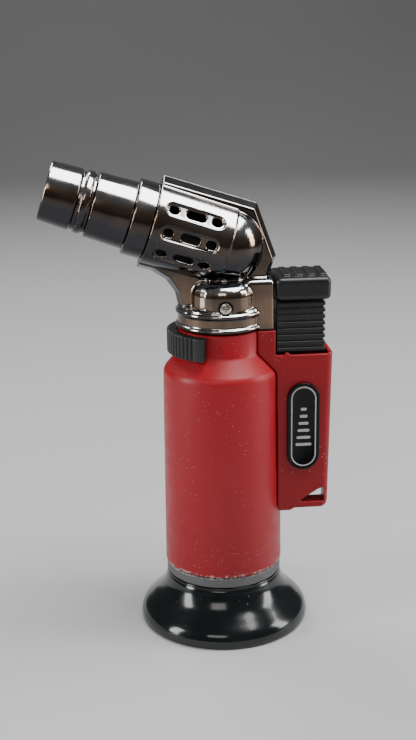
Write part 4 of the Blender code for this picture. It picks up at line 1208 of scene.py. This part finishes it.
# %% Turned inner parts
SPARK_AXIS = BARREL @ at(2.2)
INNER = (
    ("tank_base_cap", "torch", BLACK_MATTE, "black_matte", None, 0.2, [
        (15.4, 21.2), (15.4, 18.7), (13.8, 18.7), (13.8, 9.6), (13.2, 9.0), (12.2, 9.0), (12.2, 16.6),
        (6.6, 16.6), (6.6, 12.5), (4.6, 12.5), (4.6, 21.2)]),
    ("fuel_reservoir", "torch", CLEAR, "clear_plastic", None, 0.6, [
        (4.6, 80.6), (9.2, 80.6), (9.2, 75.4), (13.8, 70.6), (15.2, 68.0), (15.2, 21.5), (4.6, 21.5),
        (4.6, 22.9), (13.8, 22.9), (13.8, 67.5), (8.0, 73.5), (8.0, 79.2), (4.6, 79.2)]),
    ("outlet_valve_body", "torch", BRASS, "brass", None, 0.12, [
        (2.4, 89.4), (4.3, 89.4), (4.3, 76.6), (3.4, 75.6), (3.4, 73.4), (1.0, 73.4), (1.0, 75.4),
        (2.6, 75.4), (2.6, 88.2), (2.4, 88.4)]),
    ("fill_valve_body", "torch", BRASS, "brass", None, 0.12, [
        (2.5, 24.6), (4.3, 24.6), (4.3, 12.8), (3.4, 12.2), (3.4, 10.8), (1.9, 10.8), (1.9, 13.4),
        (2.5, 13.8)]),
    ("fill_valve_keeper", "torch", BRASS, "brass", None, 0.1, [
        (1.4, 26.2), (4.1, 26.2), (4.1, 24.9), (2.2, 24.9), (2.2, 24.2), (1.4, 24.2)]),
    ("mixing_tube", "torch", SOOTY, "steel", BARREL, 0.15, [
        (7.0, 44.2), (7.0, 41.0), (4.9, 36.0), (4.9, 9.0), (5.6, 3.2), (5.0, 3.2), (4.3, 9.0),
        (4.3, 36.4), (6.4, 41.4), (6.4, 44.2)]),
    ("gas_jet", "torch", BRASS, "brass", BARREL, 0.1, [
        (1.3, 1.8), (2.3, 1.0), (2.3, -2.6), (1.7, -3.4), (0.8, -3.4), (0.8, -1.0), (0.4, 0.6),
        (0.4, 1.8)]),
    ("electrode_insulator", "torch", CERAMIC, "ceramic", SPARK_AXIS, 0.1, [
        (0.95, 46.8), (0.95, 5.6), (0.55, 5.6), (0.55, 46.8)]),
    ("outlet_valve_oring", "outlet_stem", RUBBER, "rubber", None, 0.0,
     arc(2.05, 79.4, 0.4, 90, -250, 17)),
)
HOLLOW_STEPS = 96
for node, body, material, slot_name, matrix, rounding, profile in INNER:
    outline = softened(profile, rounding) if rounding else profile
    piece = turned(node + "_turned", outline, True, HOLLOW_STEPS, matrix)
    finished(piece, material, body, (node,), 40.0)

STEM_STEPS = 64
STEMS = (
    ("outlet_valve_stem", "outlet_stem", BRASS, "brass", None, [
        (0.0, 93.7), (2.05, 93.7), (2.2, 93.55), (2.2, 93.0), (2.1, 92.9), (1.3, 92.9), (1.3, 84.4),
        (2.1, 84.2), (2.2, 84.1), (2.2, 83.3), (2.1, 83.15), (1.3, 83.0), (1.3, 78.0), (0.0, 77.8)]),
    ("fill_valve_stem", "fill_stem", STEEL, "steel", None, [
        (0.0, 20.6), (0.95, 20.6), (1.1, 20.45), (1.1, 16.4), (2.1, 16.2), (2.2, 16.1), (2.2, 15.1),
        (2.1, 14.95), (1.5, 14.8), (1.5, 9.6), (1.2, 9.3), (0.0, 9.3)]),
    ("piezo_plunger", "trigger", BLACK_MATTE, "black_matte", None, [
        (0.0, 94.7), (1.8, 94.7), (2.0, 94.5), (2.0, 62.5), (1.6, 62.0), (0.0, 62.0)]),
    ("spark_electrode", "torch", STEEL, "steel", SPARK_AXIS, [
        (0.0, 47.8), (0.12, 47.78), (0.25, 47.6), (0.25, 5.1), (0.15, 5.0), (0.0, 5.0)]),
)
for node, body, material, slot_name, matrix, profile in STEMS:
    piece = turned(node + "_turned", profile, False, STEM_STEPS, matrix)
    finished(piece, material, body, (node,), 40.0)

# %% [markdown]
# The bent gas tube, the spark lead, the lever with its pin, and the spark unit's case keep the
# frame's own shape and get their finishes. Hidden frame pieces get a finish too.

# %% Finishes on the frame's own pieces
SLOT_FINISH = {
    "red_paint": RED_PAINT, "red_plastic": RED_PLASTIC, "black_gloss": BLACK_GLOSS,
    "black_matte": BLACK_MATTE, "grey_ring": GREY_RING, "clear_plastic": CLEAR,
    "dark_chrome": DARK_CHROME, "steel": STEEL, "brass": BRASS, "ceramic": CERAMIC,
    "rubber": RUBBER, "wire_cover": LEAD,
}
for entry in frame["record"]["subparts"]:
    for holder in frame["nodes"][entry["node"]].material_slots:
        holder.material = SLOT_FINISH[entry["material_slot"]]
print("finishes on", len(frame["nodes"]), "frame pieces")

# %% [markdown]
# ## Studio
# A pale paper sweep: it lies flat under the torch, then curves up far behind it, so no horizon
# shows.

# %% Floor
def make_floor():
    """A sheet of paper 4 m wide, with a bend of 0.7 m radius."""
    half_width = 2.0
    section = [(-1.6, 0.0), (-0.4, 0.0), (0.4, 0.0), (1.0, 0.0)] + arc(1.0, 0.7, 0.7, -90, 0, 24)
    section.append((1.7, 2.4))
    bm = bmesh.new()
    lines = [[bm.verts.new((side * half_width, y, z)) for side in (-1, 1)] for y, z in section]
    for first, second in zip(lines, lines[1:]):
        bm.faces.new((first[0], first[1], second[1], second[0]))
    floor = from_bmesh("studio_floor", bm)
    floor.data.shade_smooth()
    show(floor)
    finish = Finish("studio_floor", Roughness=0.62, Specular_IOR_Level=0.3)
    finish.colour(finish.noise(3.0), (0.46, 0.46, 0.465), (0.50, 0.50, 0.505))
    floor.data.materials.append(finish.material)
    floor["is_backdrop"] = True


make_floor()


# %% [markdown]
# One soft light hangs above, one behind, one to each side and a weak one in front. They are big,
# so the plated parts show broad bands instead of points.

# %% Lights and surroundings
def soft_light(name, place, target, width, height, power, colour=(1.0, 1.0, 1.0)):
    light = bpy.data.lights.new(name, "AREA")
    light.shape = "RECTANGLE"
    light.size = width
    light.size_y = height
    light.energy = power
    light.color = colour
    holder = bpy.data.objects.new(name, light)
    holder.location = place
    holder.rotation_euler = (Vector(target) - Vector(place)).to_track_quat("-Z", "Y").to_euler()
    bpy.context.scene.collection.objects.link(holder)


MIDDLE = (0.0, 0.0, 0.07)
ROOM_COLOUR = (0.62, 0.63, 0.65)
ROOM_STRENGTH = 0.14
soft_light("top_light", (0.22, -0.06, 0.68), MIDDLE, 0.50, 0.46, 6.4)
soft_light("back_light", (-0.25, 0.42, 0.62), MIDDLE, 0.40, 0.20, 2.4)
soft_light("left_light", (-0.60, -0.16, 0.24), MIDDLE, 0.16, 0.40, 2.6)
soft_light("right_light", (0.60, -0.10, 0.26), MIDDLE, 0.16, 0.40, 2.4)
soft_light("front_light", (-0.25, -0.85, 0.62), MIDDLE, 0.42, 0.30, 1.3, (1.0, 0.96, 0.91))
world = bpy.data.worlds.new("soft_room")
bpy.context.scene.world = world
world.use_nodes = True
sky = world.node_tree.nodes["Background"]
sky.inputs["Color"].default_value = (*ROOM_COLOUR, 1.0)
sky.inputs["Strength"].default_value = ROOM_STRENGTH

# %% [markdown]
# The camera looks along +Y, swung 5 degrees towards the nozzle, 17 degrees down and tilted by under
# a degree.

# %% Camera
CAMERA_SIDE = -3.8
CAMERA_DISTANCE = 326.8
CAMERA_HEIGHT = 173.0
CAMERA_SWING = math.radians(5.0)
CAMERA_PITCH = math.radians(16.6)
CAMERA_ROLL = math.radians(-0.84)
CAMERA_LENS = 58.33
FILM_HEIGHT = 36.0

lens = bpy.data.cameras.new("camera")
lens.sensor_fit = "VERTICAL"
lens.sensor_height = FILM_HEIGHT
lens.lens = CAMERA_LENS
lens.clip_start = 0.01
camera = bpy.data.objects.new("camera", lens)
swing = Matrix.Rotation(-CAMERA_SWING, 4, "Z")
place = swing @ at(CAMERA_SIDE, -CAMERA_DISTANCE, CAMERA_HEIGHT)
aim = Matrix.Rotation(math.pi / 2 - CAMERA_PITCH, 4, "X") @ Matrix.Rotation(CAMERA_ROLL, 4, "Z")
camera.matrix_world = place @ aim
bpy.context.scene.collection.objects.link(camera)
bpy.context.scene.camera = camera
print("camera at", [round(v / MM, 1) for v in camera.matrix_world.translation])

# %% [markdown]
# ## Clear up and print the size
# The scratch pieces are removed, and the finished model's box is printed beside the box that the frame
# gives.

# %% Clear up and print the size
for leftover in list(SCRATCH.objects):
    print("left over:", leftover.name)
    discard(leftover)
bpy.data.collections.remove(SCRATCH)
visual_bounds = [list(corner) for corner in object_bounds()]
for label, corners in (("cad", cad_bounds), ("visual", visual_bounds)):
    print(label, [[round(v / MM, 2) for v in corner] for corner in corners])
